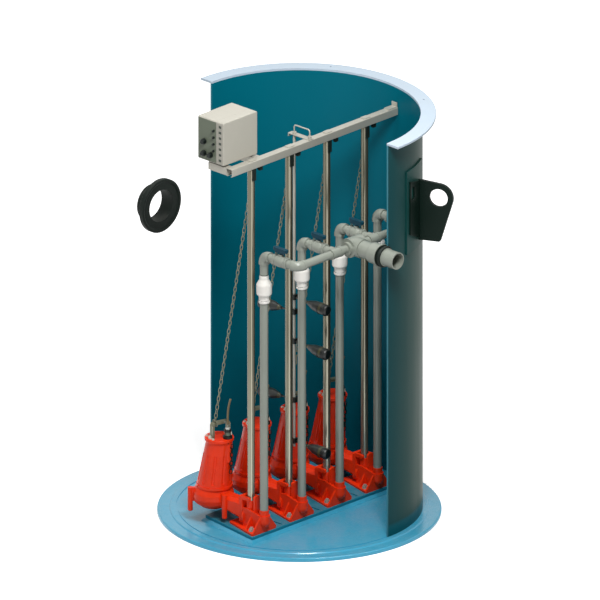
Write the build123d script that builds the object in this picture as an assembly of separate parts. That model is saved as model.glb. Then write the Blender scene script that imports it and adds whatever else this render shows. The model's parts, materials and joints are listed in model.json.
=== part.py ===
from build123d import *
import math
import os

# Packaged lift station with four grinder pumps, basin drawn as a half cut-away.
# Millimetres. Z is up from the underside of the base, Z axis is the basin's axis.
# The cut plane is Y = 0: the shell is kept at Y >= 0. The outlet runs along +X,
# the row of pumps along Y.

os.makedirs("parts", exist_ok=True)

# ---- driving dimensions -------------------------------------------------------------

# basin
basin_bore = 1219.2
shell_wall = 10.0
base_margin = 94.4
base_thickness = 20.0
base_edge_round = 8.0
hub_margin = 27.4
hub_rise = 5.0
groove_depth = 3.0
basin_top = 2144.0
flange_margin = 67.4
flange_thickness = 11.0
cover_hole_margin = 30.4
cover_hole = 11.0
cover_hole_angles = (60.0, 120.0)

# floor plate on its plinth
plinth_rise = 14.0
plinth_spread = 16.0
floor_plate_thickness = 16.0
floor_plate_front = 186.0
floor_plate_back = -200.0
floor_plate_front_end = -533.0
floor_plate_back_end = -470.0
floor_plate_margin = 9.0
floor_plate_edge = 3.0
plate_slot_length = 118.0
plate_slot_inset = 20.0
plate_slot_width = 9.0
plate_slot_depth = 6.0

# stations
station_count = 4
station_pitch = 273.0
first_station = -436.0
pump_x = -170.0
rail_x = 85.0
riser_x = 175.0
valve_x = 293.0
manifold_x = 409.0
outlet_y = -26.0

# pedestal
foot_thickness = 12.0
foot_front = 180.0
foot_back = -35.0
foot_front_width = 180.0
foot_back_width = 68.0
web_thickness = 10.0
gusset_thickness = 9.0
gusset_x = 114.0
pedestal_face_x = 55.0
inlet_height = 112.0
inlet_flange_radius = 42.0
inlet_flange_thickness = 12.0
pedestal_elbow_radius = 31.0
water_bore_radius = 16.0
socket_radius = 25.0
socket_top = 173.5
socket_depth = 28.0
rail_seat_top = 204.0
rail_seat_radius = 24.0
rail_peg_height = 30.0
tongue_x = 120.0
tongue_thickness = 12.0
tongue_top = 236.0
tongue_width = 42.0
anchor_x = 144.0
anchor_y = 58.0
anchor_hex = 24.0
anchor_head = 10.0
anchor_washer_radius = 15.0
anchor_washer = 3.0
anchor_stud_radius = 8.0
anchor_stud_length = 8.0
anchor_hole_radius = 9.0

# rails and beam
rail_radius = 19.0
rail_wall = 3.0
beam_size = 41.0
beam_wall = 2.7
beam_mouth = 22.0
beam_x = 90.5
beam_bottom = 1992.0
beam_start_y = -600.0
beam_wall_gap = 2.4
arm_reach = 125.0
second_arm_y = -400.0
rail_top_gap = 6.0
clip_thickness = 4.0
clip_length = 46.0
clip_width = 30.0
end_angle_length = 60.0
end_angle_height = 26.0
end_angle_thickness = 5.0
plug_length = 64.0
strap_width = 24.0
strap_thickness = 5.0
hook_back = 14.0
hook_offset = 26.0
hook_ring_radius = 12.0
hook_rod = 4.0
hook_drop = 20.0
hook_plate_width = 24.0
hook_plate_thickness = 4.0
tab_offset = 56.0
tab_width = 20.0
tab_drop = 24.0

# pipework
riser_radius = 21.1
pipe_wall = 4.85
check_bottom = 1290.0
check_top = 1439.0
check_socket = 12.0
check_top_socket = 14.0
manifold_height = 1544.0
fitting_radius = 26.0
fitting_rim_radius = 27.5
fitting_rim = 14.0
elbow_turn = 30.0
valve_half = 50.0
valve_socket = 12.0
valve_union_radius = 31.0
valve_ball_radius = 29.0
stem_top = 1590.0
stem_boss_radius = 14.0
stem_radius = 6.0
stem_hub_radius = 9.0
lever_length = 96.0
lever_width = 22.0
lever_depth = 25.0
lever_wall = 4.0
lever_scoop = 16.0
tee_arm = 36.0
main_tee_radius = 50.0
main_tee_arm = 62.0
bushing_radius = 34.0
bushing_step = 16.0
outlet_radius = 44.45
outlet_wall = 5.5
outlet_socket_depth = 20.0
outlet_stub = 92.4
stop_ring_set_out = 13.4
stop_ring_width = 4.0
stop_ring_height = 2.5
coupling_set_back = 17.6
coupling_length = 57.0
coupling_radius = 54.0
collar_radius = 59.0
collar_length = 10.0
seal_radius = 57.0
seal_side = 9.0
seal_set_back = 1.4
seal_lip = 12.0

# pump
volute_bottom = 105.0
volute_top = 215.0
volute_radius = 105.0
volute_set_back = 8.0
volute_cavity_radius = 72.0
volute_cavity_bottom = 113.0
volute_cavity_top = 178.0
suction_radius = 38.0
leg_circle = 122.0
leg_radius = 13.0
leg_bottom = 77.0
leg_top = 203.0
leg_angles = (-136.0, -22.0, 136.0)
motor_bottom_radius = 88.0
motor_top_radius = 66.0
motor_lean = 32.0
motor_foot_top = 228.0
motor_neck = 462.0
motor_flange_radius = 92.0
terminal_boss_radius = 28.0
rim_radius = 74.0
rim_top = 485.0
flute_count = 10
flute_radius = 9.0
flute_bottom = 245.0
flute_top = 400.0
arm_width = 100.0
arm_bottom = 132.0
arm_top = 200.0
arm_corner = 22.0
arm_end_drop = 20.0
arm_end_corner = 16.0
coupling_plate_x = 34.0
coupling_plate_width = 68.0
claw_top = 224.0
claw_thickness = 12.0
claw_reach = 104.0
claw_gap = 2.0
shaft_radius = 12.0
bearing_gap = 0.05
bearing_bottom = 221.0
bearing_length = 28.0
shaft_room = 3.0
shaft_top = 300.0
shaft_bottom = 96.0
impeller_radius = 64.0
impeller_bottom = 120.0
impeller_plate = 8.0
impeller_vane = 30.0
vane_count = 6
cutter_radius = 32.0
cutter_bottom = 98.0
cutter_thickness = 9.0
bail_height = 568.0
bail_half_span = 52.0
bail_crown = 18.0
bail_angle = 75.0
bail_offset_x = 5.0
bail_offset_y = 2.1
bail_width = 28.0
bail_thickness = 12.0
bail_foot_length = 15.0
bail_foot_thickness = 5.0
bail_bolt_hex = 15.0
bail_bolt_head = 9.0
gland_x = 48.0
gland_y = 12.0
gland_height = 74.0
gland_base_radius = 24.0
gland_body_radius = 16.0
gland_cap_radius = 18.0
gland_nut_radius = 12.0
cable_radius = 5.5
cable_length = 140.0
rim_bolt_circle = 62.0
rim_bolt_hex = 12.0
rim_bolt_head = 7.0
rim_bolt_clearance = 3.0

# lifting chains
chain_radius = 7.0
chain_gap = 0.3
chain_along_bail = 22.0

# float tree
float_x = -10.0
float_y = -26.0
float_rod_radius = 7.0
float_rod_bottom = 352.0
float_heights = (1156.0, 1077.0, 919.0, 603.0, 383.0)
float_sides = (1, -1, 1, -1, 1)
clamp_size = 28.0
clamp_height = 26.0
hinge_offset = 6.0
hinge_barrel = 12.0
tether_radius = 4.0
tether_length = 78.0
float_radius = 28.5
float_length = 139.0
float_drop = 15.0
bracket_thickness = 4.0
bracket_width = 30.0
bracket_back = -40.0
handle_rod = 3.5
handle_top = 2083.0
handle_end_x = 98.0
rod_nut_height = 14.0

# junction box
box_back = -115.0
box_split = 13.0
box_front = 62.0
box_near = -614.0
box_far = -366.0
box_bottom = 2041.0
box_top = 2272.0
box_wall = 4.0
box_round = 9.0
box_pad_inset = 100.0
box_pad_radius = 10.0
lid_gap = 0.3
box_hinge_offset = 5.0
hinge_pin_radius = 2.5
knuckle_radius = 4.5
knuckle_length = 34.0
ladder_count = 7
ladder_pitch = 30.0
terminal_count = 8
terminal_pitch = 20.0
terminal_width = 17.0
gland_ring_radius = 15.0
gland_ring_length = 24.0
large_gland_places = ((-69.0, 2145.0), (-69.0, 2082.0), (-24.0, 2082.0))
small_gland_count = 4
small_gland_x = -4.0
small_gland_radius = 6.5
small_gland_length = 12.0
small_gland_top = 2217.0
small_gland_pitch = 36.0

# lifting lug
lug_angle = 27.0
lug_thickness = 16.0
lug_hole_radius = 47.5
lug_hole_reach = 97.4
lug_hole_height = 1770.0
lug_eye_radius = 76.0
lug_root_bottom = 1534.0
lug_root_top = 1856.0
lug_heel_reach = 95.4
lug_heel_radius = 14.0
lug_root_length = 20.0
saddle_start_angle = 15.5
saddle_end_angle = 28.2
saddle_free_bottom = 1602.0
saddle_free_top = 1886.0
saddle_tab_bottom = 1541.0
saddle_tab_top = 1851.0
saddle_thickness = 8.0
pad_start_angle = 13.5
pad_end_angle = 33.0
pad_thickness = 8.0
pad_bottom = 1500.0
pad_top = 1946.0
window_angle = 18.0
window_width = 34.0
window_bottom = 1784.0
window_height = 68.0
window_round = 12.0

# loose inlet hub
hub_stand_off = 313.4
hub_y = -26.0
hub_z = 1393.0
hub_flange_radius = 140.5
hub_flange_thickness = 25.0
hub_neck_radius = 109.0
hub_body_radius = 95.0
hub_length = 84.0
hub_bore_radius = 84.0
hub_dish_radius = 128.0
hub_dish_depth = 5.0

# ---- values worked out from them ----------------------------------------------------

bore_radius = basin_bore / 2
shell_radius = bore_radius + shell_wall
base_radius = shell_radius + base_margin
hub_radius = shell_radius + hub_margin
flange_radius = shell_radius + flange_margin
cover_hole_circle = shell_radius + cover_hole_margin
hub_top = base_thickness + hub_rise
shell_bottom = hub_top - groove_depth
flange_bottom = basin_top - flange_thickness
plinth_top = hub_top + plinth_rise
plate_top = plinth_top + floor_plate_thickness
foot_top = plate_top + foot_thickness
socket_floor = socket_top - socket_depth
stations = [first_station + station_pitch * k for k in range(station_count)]
beam_top = beam_bottom + beam_size
beam_half = beam_size / 2
beam_end_y = math.sqrt(bore_radius ** 2 - (beam_x + beam_half) ** 2) - beam_wall_gap
hook_x = rail_x - hook_back
hook_ring_z = beam_bottom - hook_drop - hook_ring_radius - hook_rod
hook_ring_foot = hook_ring_z - hook_ring_radius - hook_rod
tee_low = outlet_y - main_tee_arm
tee_high = outlet_y + main_tee_arm
outlet_start = manifold_x + main_tee_arm - outlet_socket_depth
outlet_end = shell_radius + outlet_stub
coupling_end = bore_radius - coupling_set_back
coupling_start = coupling_end - coupling_length
lug_root = shell_radius + pad_thickness
lug_face = lug_root + saddle_thickness
lug_hole_distance = lug_face + lug_hole_reach
rim_x = pump_x + motor_lean
gland_centre_x = rim_x + gland_x
gland_top = rim_top + gland_height
bail_x = rim_x + bail_offset_x
bail_y = bail_offset_y
bail_dx = math.cos(math.radians(bail_angle))
bail_dy = math.sin(math.radians(bail_angle))
wall_gap = 0.3
least_round = 6.0
pipe_bore = riser_radius - pipe_wall


# ---- helpers ------------------------------------------------------------------------

def post(radius, x, y, low, high):
    """Upright cylinder between two heights."""
    return Pos(x, y, (low + high) / 2) * Cylinder(radius, high - low)


def bar_x(radius, low, high, y, z):
    """Cylinder lying along X."""
    return Pos((low + high) / 2, y, z) * Rot(0, 90, 0) * Cylinder(radius, high - low)


def bar_y(radius, x, low, high, z):
    """Cylinder lying along Y."""
    return Pos(x, (low + high) / 2, z) * Rot(90, 0, 0) * Cylinder(radius, high - low)


def block(x_low, x_high, y_low, y_high, z_low, z_high):
    """Box between two corners."""
    centre = Pos((x_low + x_high) / 2, (y_low + y_high) / 2, (z_low + z_high) / 2)
    return centre * Box(x_high - x_low, y_high - y_low, z_high - z_low)


def profile(corners):
    """Face in the XZ plane from (x, z) or (x, z, corner size) points.

    Corner sizes under least_round are cut, the larger ones are rounded.
    """
    face = make_face(Polyline([(c[0], c[1]) for c in corners], close=True))
    for c in corners:
        if len(c) == 3:
            near = face.vertices().sort_by_distance((c[0], c[1], 0))[0]
            face = fillet(near, c[2]) if c[2] >= least_round else chamfer(near, c[2] * 0.6)
    return Plane.XZ * face


def turned(corners):
    """Solid of revolution round Z from an (x, z) outline."""
    return revolve(profile(corners), axis=Axis.Z)


def prism_y(corners, y_low, y_high):
    """Outline in XZ pushed along Y."""
    return Pos(0, y_low, 0) * extrude(profile(corners), -(y_high - y_low))


def prism_x(corners, x_low, x_high):
    """Outline of (y, z) points pushed along X."""
    face = make_face(Polyline([(c[0], c[1]) for c in corners], close=True))
    return Pos(x_low, 0, 0) * extrude(Plane.YZ * face, x_high - x_low)


def bend(radius, corner, turn_radius, first, second):
    """Round elbow: a quarter ring that joins two directions at a corner."""
    c, a, b = Vector(*corner), Vector(*first), Vector(*second)
    start = c + a * turn_radius
    centre = c + (a + b) * turn_radius
    return revolve(Plane(start, z_dir=a * -1) * Circle(radius), Axis(centre, b.cross(a)), 90)


def one_solid(shape):
    """The fused result as a plain solid."""
    found = shape.solids()
    return found[0] if len(found) == 1 else Compound(found)


def save(name, shape):
    export_step(one_solid(shape), f"parts/{name}.step")


# ---- basin --------------------------------------------------------------------------

def plate_outline(spread, margin):
    """Outline of the floor plate, grown by spread and kept inside the bore by margin."""
    front, back = floor_plate_front + spread, floor_plate_back - spread
    outline = make_face(Polyline([
        (front, floor_plate_front_end - spread),
        (front, bore_radius),
        (back, bore_radius),
        (back, floor_plate_back_end - spread),
    ], close=True))
    return outline & Circle(bore_radius - margin)


def make_base_pan():
    pan = turned([
        (0, 0),
        (base_radius, 0, 3),
        (base_radius, base_thickness, base_edge_round),
        (hub_radius + hub_rise, base_thickness),
        (hub_radius, hub_top, 2),
        (0, hub_top),
    ])
    groove = post(shell_radius, 0, 0, shell_bottom, hub_top) - post(bore_radius, 0, 0, shell_bottom, hub_top)
    plinth = Pos(0, 0, hub_top) * extrude(plate_outline(plinth_spread, floor_plate_margin / 2), plinth_rise)
    plinth = chamfer(plinth.edges().group_by(Axis.Z)[-1], plinth_rise - 1)
    return pan - groove + plinth


def half_ring(inner, outer, low, high):
    ring = post(outer, 0, 0, low, high) - post(inner, 0, 0, low - 1, high + 1)
    keep = block(-outer - 1, outer + 1, 0, outer + 1, low, high)
    return ring & keep


def wall_sector(inner, outer, start_angle, end_angle, low, high):
    """Piece of a cylinder wall between two angles from +X."""
    ring = post(outer, 0, 0, low, high) - post(inner, 0, 0, low - 1, high + 1)
    reach = outer * 2
    a, b = math.radians(start_angle), math.radians(end_angle)
    wedge = make_face(Polyline([
        (0, 0),
        (reach * math.cos(a), reach * math.sin(a)),
        (reach * math.cos(b), reach * math.sin(b)),
    ], close=True))
    return ring & (Pos(0, 0, low) * extrude(wedge, high - low))


def make_basin_shell():
    shell = half_ring(bore_radius, shell_radius, shell_bottom, flange_bottom)
    hole_radius = seal_radius - seal_side + wall_gap
    notch = bar_x(hole_radius, bore_radius - 20, shell_radius + 20, outlet_y, manifold_height)
    pad = wall_sector(
        shell_radius, shell_radius + pad_thickness, pad_start_angle, pad_end_angle, pad_bottom, pad_top)
    return shell - notch + pad


def make_top_flange():
    ring = half_ring(bore_radius, flange_radius, flange_bottom, basin_top)
    ring = chamfer(ring.edges().filter_by(GeomType.CIRCLE).group_by(Axis.Z)[-1].sort_by(SortBy.LENGTH)[-1], 2)
    for angle in cover_hole_angles:
        x = cover_hole_circle * math.cos(math.radians(angle))
        y = cover_hole_circle * math.sin(math.radians(angle))
        ring -= post(cover_hole / 2, x, y, flange_bottom - 1, basin_top + 1)
    return ring


def make_floor_plate():
    plate = Pos(0, 0, plinth_top) * extrude(plate_outline(0, floor_plate_margin), floor_plate_thickness)
    plate = chamfer(plate.edges().group_by(Axis.Z)[-1], floor_plate_edge)
    slot_x = floor_plate_front - plate_slot_inset - plate_slot_length / 2
    slot = extrude(SlotOverall(plate_slot_length, plate_slot_width), plate_slot_depth + 1)
    for k in range(station_count - 1):
        middle = stations[k] + station_pitch / 2
        plate -= Pos(slot_x, middle, plate_top - plate_slot_depth) * slot
    return plate


# ---- lifting lug --------------------------------------------------------------------

def make_lifting_lug():
    """Saddle bent round the shell with a window in it, and the tab with the eye."""
    saddle = wall_sector(
        lug_root, lug_face, saddle_start_angle, saddle_end_angle, lug_root_bottom, saddle_free_top)
    # the saddle's lower and upper edges slope from the tab to its free side
    middle_angle = (saddle_start_angle + lug_angle) / 2
    half_arc = lug_face * math.tan(math.radians(lug_angle - middle_angle))
    slope = make_face(Polyline([
        (-half_arc, saddle_free_bottom),
        (half_arc, saddle_tab_bottom),
        (half_arc + 20, saddle_tab_bottom),
        (half_arc + 20, saddle_tab_top),
        (half_arc, saddle_tab_top),
        (-half_arc, saddle_free_top),
        (-half_arc - 20, saddle_free_top),
        (-half_arc - 20, saddle_free_bottom),
    ], close=True))
    saddle &= Rot(0, 0, middle_angle) * (Pos(lug_root - 30, 0, 0) * extrude(Plane.YZ * slope, 80))
    window = RectangleRounded(window_width, window_height, window_round)
    window = Pos(0, window_bottom + window_height / 2) * window
    saddle -= Rot(0, 0, window_angle) * (Pos(lug_root - 30, 0, 0) * extrude(Plane.YZ * window, 80))
    root_middle = lug_root + lug_root_length / 2
    eye = Pos(lug_hole_distance, lug_hole_height) * Circle(lug_eye_radius)
    heel = Pos(lug_face + lug_heel_reach, lug_root_bottom + lug_heel_radius) * Circle(lug_heel_radius)
    root = Pos(root_middle, (lug_root_bottom + lug_root_top) / 2) * Rectangle(
        lug_root_length, lug_root_top - lug_root_bottom)
    tab = make_hull((eye + heel + root).edges())
    tab -= Pos(lug_hole_distance, lug_hole_height) * Circle(lug_hole_radius)
    plate = Pos(0, lug_thickness / 2, 0) * extrude(Plane.XZ * tab, lug_thickness)
    return saddle + Rot(0, 0, lug_angle) * plate


# ---- inlet hub and outlet seal ------------------------------------------------------

def along_x(corners, x, y, z):
    """Solid of revolution whose axis lies along +X, from (radius, distance) points."""
    return Pos(x, y, z) * Rot(0, 90, 0) * turned(corners)


def make_inlet_hub():
    return along_x([
        (hub_bore_radius, -hub_dish_depth),
        (hub_dish_radius - 8, -hub_dish_depth),
        (hub_dish_radius, 0),
        (hub_flange_radius, 0, 3),
        (hub_flange_radius, -hub_flange_thickness, 3),
        (hub_neck_radius, -hub_flange_thickness - 4, 5),
        (hub_body_radius, -hub_flange_thickness - 18),
        (hub_body_radius, -hub_length, 2),
        (hub_bore_radius, -hub_length),
    ], -shell_radius - hub_stand_off, hub_y, hub_z)


def make_outlet_seal():
    groove_radius = seal_radius - seal_side
    near = coupling_end + collar_length
    far = shell_radius + seal_lip
    return along_x([
        (outlet_radius, near),
        (seal_radius - 2, near, 1.5),
        (seal_radius, bore_radius - seal_set_back - 2),
        (groove_radius, bore_radius - seal_set_back),
        (groove_radius, shell_radius + wall_gap),
        (seal_radius, shell_radius + wall_gap + 1, 1.5),
        (seal_radius - 5, far, 2),
        (outlet_radius, far),
    ], 0, outlet_y, manifold_height)


# ---- pedestals ----------------------------------------------------------------------

def make_pedestal():
    back, front = foot_back, foot_front
    foot = make_face(Polyline([
        (back, -foot_back_width / 2),
        (front, -foot_front_width / 2),
        (front, foot_front_width / 2),
        (back, foot_back_width / 2),
    ], close=True))
    foot = fillet(foot.vertices(), 10)
    body = Pos(0, 0, plate_top) * extrude(foot, foot_thickness)
    body = chamfer(body.edges().group_by(Axis.Z)[-1], 2)
    # water way: inlet flange, level run, quarter bend, upright socket
    flange_back = pedestal_face_x + inlet_flange_thickness
    body += bar_x(inlet_flange_radius, pedestal_face_x, flange_back, 0, inlet_height)
    body += bar_x(pedestal_elbow_radius, pedestal_face_x, riser_x, 0, inlet_height)
    body += Pos(riser_x, 0, inlet_height) * Sphere(pedestal_elbow_radius)
    body += post(pedestal_elbow_radius, riser_x, 0, inlet_height, socket_floor)
    body += post(socket_radius, riser_x, 0, inlet_height, socket_top)
    # front web in the riser's plane and a gusset behind it, both A-shaped
    spread = foot_front_width / 2 - 4
    web = [
        (-spread, foot_top - 2),
        (-socket_radius, socket_floor),
        (socket_radius, socket_floor),
        (spread, foot_top - 2),
    ]
    body += prism_x(web, riser_x - web_thickness / 2, riser_x + web_thickness / 2)
    narrow = [(y * 0.86, z) for y, z in web]
    body += prism_x(narrow, gusset_x - gusset_thickness / 2, gusset_x + gusset_thickness / 2)
    # long ribs from the rail seat down to the back of the foot
    rib_y = foot_back_width / 2 - 12
    for side in (-1, 1):
        low, high = sorted((side * rib_y, side * (rib_y + gusset_thickness)))
        body += prism_y([
            (pedestal_face_x + 1, foot_top - 2),
            (pedestal_face_x + 1, rail_seat_top - 40),
            (pedestal_face_x + inlet_flange_thickness + 30, rail_seat_top - 40),
            (riser_x, socket_floor),
            (riser_x, foot_top - 2),
        ], low, high)
    # rail seat with its peg, and the tongue that stops the coupling
    body += post(rail_seat_radius, rail_x, 0, inlet_height, rail_seat_top)
    body += post(rail_radius - rail_wall - 0.1, rail_x, 0, rail_seat_top, rail_seat_top + rail_peg_height)
    half = tongue_width / 2
    tongue = block(tongue_x, tongue_x + tongue_thickness, -half, half, inlet_height, tongue_top)
    tongue = fillet(tongue.edges().filter_by(Axis.X).group_by(Axis.Z)[-1], 12)
    body += tongue
    # bores: the level water way, the upright one, the socket
    body -= bar_x(water_bore_radius, pedestal_face_x - 1, riser_x, 0, inlet_height)
    # the bend's poles and seam lie inside the two bores
    body -= Pos(riser_x, 0, inlet_height) * Rot(0, 45, 0) * Rot(0, 0, 180) * Sphere(water_bore_radius)
    body -= post(water_bore_radius, riser_x, 0, inlet_height, socket_floor + 1)
    body -= post(riser_radius + 0.1, riser_x, 0, socket_floor, socket_top + 1)
    for side in (-1, 1):
        body -= post(anchor_hole_radius, anchor_x, side * anchor_y, plate_top - 1, foot_top + 1)
    return body


def make_anchor_bolts():
    bolt = extrude(RegularPolygon(anchor_hex / 2, 6, major_radius=False), anchor_head)
    bolt = Pos(0, 0, anchor_washer) * bolt + post(anchor_washer_radius, 0, 0, 0, anchor_washer)
    bolt += post(anchor_stud_radius, 0, 0, -foot_thickness, anchor_washer + anchor_head + anchor_stud_length)
    placed = [
        Pos(anchor_x, y + side * anchor_y, foot_top) * bolt
        for y in stations for side in (-1, 1)
    ]
    return Compound([p.solids()[0] for p in placed])


# ---- rails and beam -----------------------------------------------------------------

def make_guide_rail():
    top = beam_bottom - rail_top_gap
    tube = post(rail_radius, rail_x, 0, rail_seat_top, top)
    return tube - post(rail_radius - rail_wall, rail_x, 0, rail_seat_top - 1, top + 1)


def strut_outline():
    """Channel section, open downward with turned-up lips, centred on its top edge middle."""
    outer = Pos(0, -beam_half) * Rectangle(beam_size, beam_size)
    outer = fillet(outer.vertices(), 3.5)
    inner = Pos(0, -beam_half) * Rectangle(beam_size - 2 * beam_wall, beam_size - 2 * beam_wall)
    mouth = Pos(0, -beam_size) * Rectangle(beam_mouth, beam_wall * 3)
    return outer - inner - mouth


def make_rail_beam():
    section = strut_outline()
    run = Plane(origin=(beam_x, beam_start_y, beam_top), x_dir=(1, 0, 0), z_dir=(0, 1, 0))
    # the plane's Y axis points down for this choice of axes, so the section is mirrored
    beam = extrude(run * (Rot(0, 0, 180) * section), beam_end_y - beam_start_y)
    for start in (beam_start_y, second_arm_y):
        corner = (beam_x - beam_half, start + beam_half, beam_top)
        across = Plane(origin=corner, x_dir=(0, 1, 0), z_dir=(-1, 0, 0))
        beam += extrude(across * (Rot(0, 0, 180) * section), arm_reach)
    return beam


def make_beam_fittings():
    """Clips over each rail, the end angle at the wall, and the box's standing pads."""
    pieces = []
    x, y = clip_width / 2, clip_length / 2
    clip = block(-x, x, -y, y, beam_top, beam_top + clip_thickness)
    clip = fillet(clip.edges().filter_by(Axis.Z), 6)
    for y in stations:
        pieces.append(Pos(beam_x, y, 0) * clip)
    low_x, high_x = beam_x - beam_half + 3, beam_x + beam_half - 3
    end = beam_end_y - 1
    angle = block(low_x, high_x, end - end_angle_length, end, beam_top, beam_top + end_angle_thickness)
    angle += block(low_x, high_x, end - end_angle_thickness, end, beam_top, beam_top + end_angle_height)
    pieces.append(angle)
    for y in (beam_start_y + beam_half, second_arm_y + beam_half):
        for x in (box_back + box_pad_inset, box_split - 6):
            pieces.append(post(box_pad_radius, x, y, beam_top, box_bottom))
    return Compound([p.solids()[0] for p in pieces])


def make_rail_hangers():
    """Per rail: the plug in its top with its strap, and the plate with the chain's eye and the tab."""
    pieces = []
    plug_top = beam_bottom - rail_top_gap
    strap_x = rail_x + rail_radius
    strap_low = beam_bottom - plug_length
    for y in stations:
        plug = post(rail_radius - rail_wall - 0.1, rail_x, y, plug_top - plug_length, plug_top)
        plug += post(rail_radius + 2, rail_x, y, plug_top, beam_bottom)
        low_y, high_y = y - strap_width / 2, y + strap_width / 2
        plug += block(strap_x, strap_x + strap_thickness, low_y, high_y, strap_low, beam_bottom)
        plug += block(rail_x, strap_x + strap_thickness, low_y, high_y, plug_top, beam_bottom)
        pieces.append(plug)
        eye_y, tab_y = y + hook_offset, y + tab_offset
        plate_low = beam_bottom - hook_plate_thickness
        plate_high_x = beam_x + hook_plate_width / 2
        ring_near, ring_far = eye_y - hook_rod, eye_y + hook_rod
        tab_near, tab_far = tab_y - tab_width / 2, tab_y + tab_width / 2
        hook = block(hook_x - hook_rod, plate_high_x, ring_near, tab_far, plate_low, beam_bottom)
        hook += post(hook_rod, hook_x, eye_y, hook_ring_z, plate_low)
        hook += bar_y(hook_ring_radius + hook_rod, hook_x, ring_near, ring_far, hook_ring_z)
        hook -= bar_y(hook_ring_radius - hook_rod, hook_x, ring_near - 1, ring_far + 1, hook_ring_z)
        hook += block(rail_x, plate_high_x, tab_near, tab_far, beam_bottom - tab_drop, plate_low)
        pieces.append(hook)
    return Compound([p.solids()[0] for p in pieces])


# ---- pipework -----------------------------------------------------------------------

def make_riser():
    top = check_bottom + check_socket
    pipe = post(riser_radius, riser_x, 0, socket_floor, top)
    return pipe - post(pipe_bore, riser_x, 0, socket_floor - 1, top + 1)


def make_check_valve():
    """Union nut, body barrel, shoulder cone and outlet neck, turned about the riser."""
    low, high = check_bottom, check_top
    body = turned([
        (pipe_bore, low + check_socket),
        (riser_radius, low + check_socket),
        (riser_radius, low),
        (26, low, 2),
        (29, low + 4),
        (29, low + 12),
        (26.5, low + 15),
        (26.5, low + 34),
        (29, low + 37),
        (29, low + 43),
        (36, low + 45, 2),
        (39, low + 51, 3),
        (39, low + 100, 4),
        (24, high - 22, 3),
        (24, high - 8),
        (22, high),
        (riser_radius, high),
        (riser_radius, high - check_top_socket),
        (pipe_bore, high - check_top_socket),
    ])
    return Pos(riser_x, 0, 0) * body


def make_branch():
    """Stub from the check valve, the elbow, and the short pipes each side of the ball valve."""
    r, z = riser_radius, manifold_height
    turn = elbow_turn
    stub = post(r, riser_x, 0, check_top - check_top_socket, z - turn)
    stub += bar_x(r, riser_x + turn, valve_x - valve_half + valve_socket - 2, 0, z)
    stub += bend(fitting_radius, (riser_x, 0, z), turn, (0, 0, -1), (1, 0, 0))
    stub += post(fitting_rim_radius, riser_x, 0, z - turn - fitting_rim, z - turn)
    stub += bar_x(fitting_rim_radius, riser_x + turn, riser_x + turn + fitting_rim, 0, z)
    bore = post(pipe_bore, riser_x, 0, check_top - check_top_socket - 1, z - turn)
    bore += bend(pipe_bore, (riser_x, 0, z), turn, (0, 0, -1), (1, 0, 0))
    bore += bar_x(pipe_bore, riser_x + turn, valve_x, 0, z)
    return stub - bore


def make_valve_body():
    """Union ball valve: two ribbed end nuts, round ball housing, stem boss."""
    half, r = valve_half, valve_union_radius
    outline = [
        (pipe_bore, -half),
        (r - 5, -half),
        (r - 2, -half + 3),
        (r - 2, -half + 18),
        (r - 5, -half + 20),
        (valve_ball_radius, -22),
        (valve_ball_radius + 2, 0),
        (valve_ball_radius, 22),
        (r - 5, half - 20),
        (r - 2, half - 18),
        (r - 2, half - 3),
        (r - 5, half),
        (pipe_bore, half),
    ]
    body = along_x(outline, valve_x, 0, manifold_height)
    for end in (-1, 1):
        low, high = sorted((valve_x + end * half, valve_x + end * (half - valve_socket)))
        body -= bar_x(riser_radius, low, high, 0, manifold_height)
    body += post(stem_boss_radius, valve_x, 0, manifold_height + 20, stem_top - 8)
    body += post(stem_radius, valve_x, 0, manifold_height + 20, stem_top - 3)
    body -= bar_x(pipe_bore, valve_x - half - 1, valve_x + half + 1, 0, manifold_height)
    return body


def make_valve_lever():
    """Flat handle with turned-down skirts, on a hub that takes the stem."""
    top = stem_top + lever_depth
    half = lever_length / 2
    grip = extrude(SlotOverall(lever_length, lever_width), lever_depth)
    hollow = extrude(SlotOverall(lever_length - 2 * lever_wall, lever_width - 2 * lever_wall), lever_depth)
    grip -= Pos(0, 0, -lever_wall) * hollow
    grip = Pos(valve_x, 0, top - lever_depth) * grip
    for side in (-1, 1):
        grip -= bar_y(lever_scoop, valve_x + side * half, -lever_width, lever_width, stem_top - 4)
    hub = post(stem_hub_radius, valve_x, 0, stem_top - 7.7, top - lever_wall / 2)
    hub -= post(stem_radius + bearing_gap, valve_x, 0, stem_top - 9, stem_top - 2.7)
    return grip + hub


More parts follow.
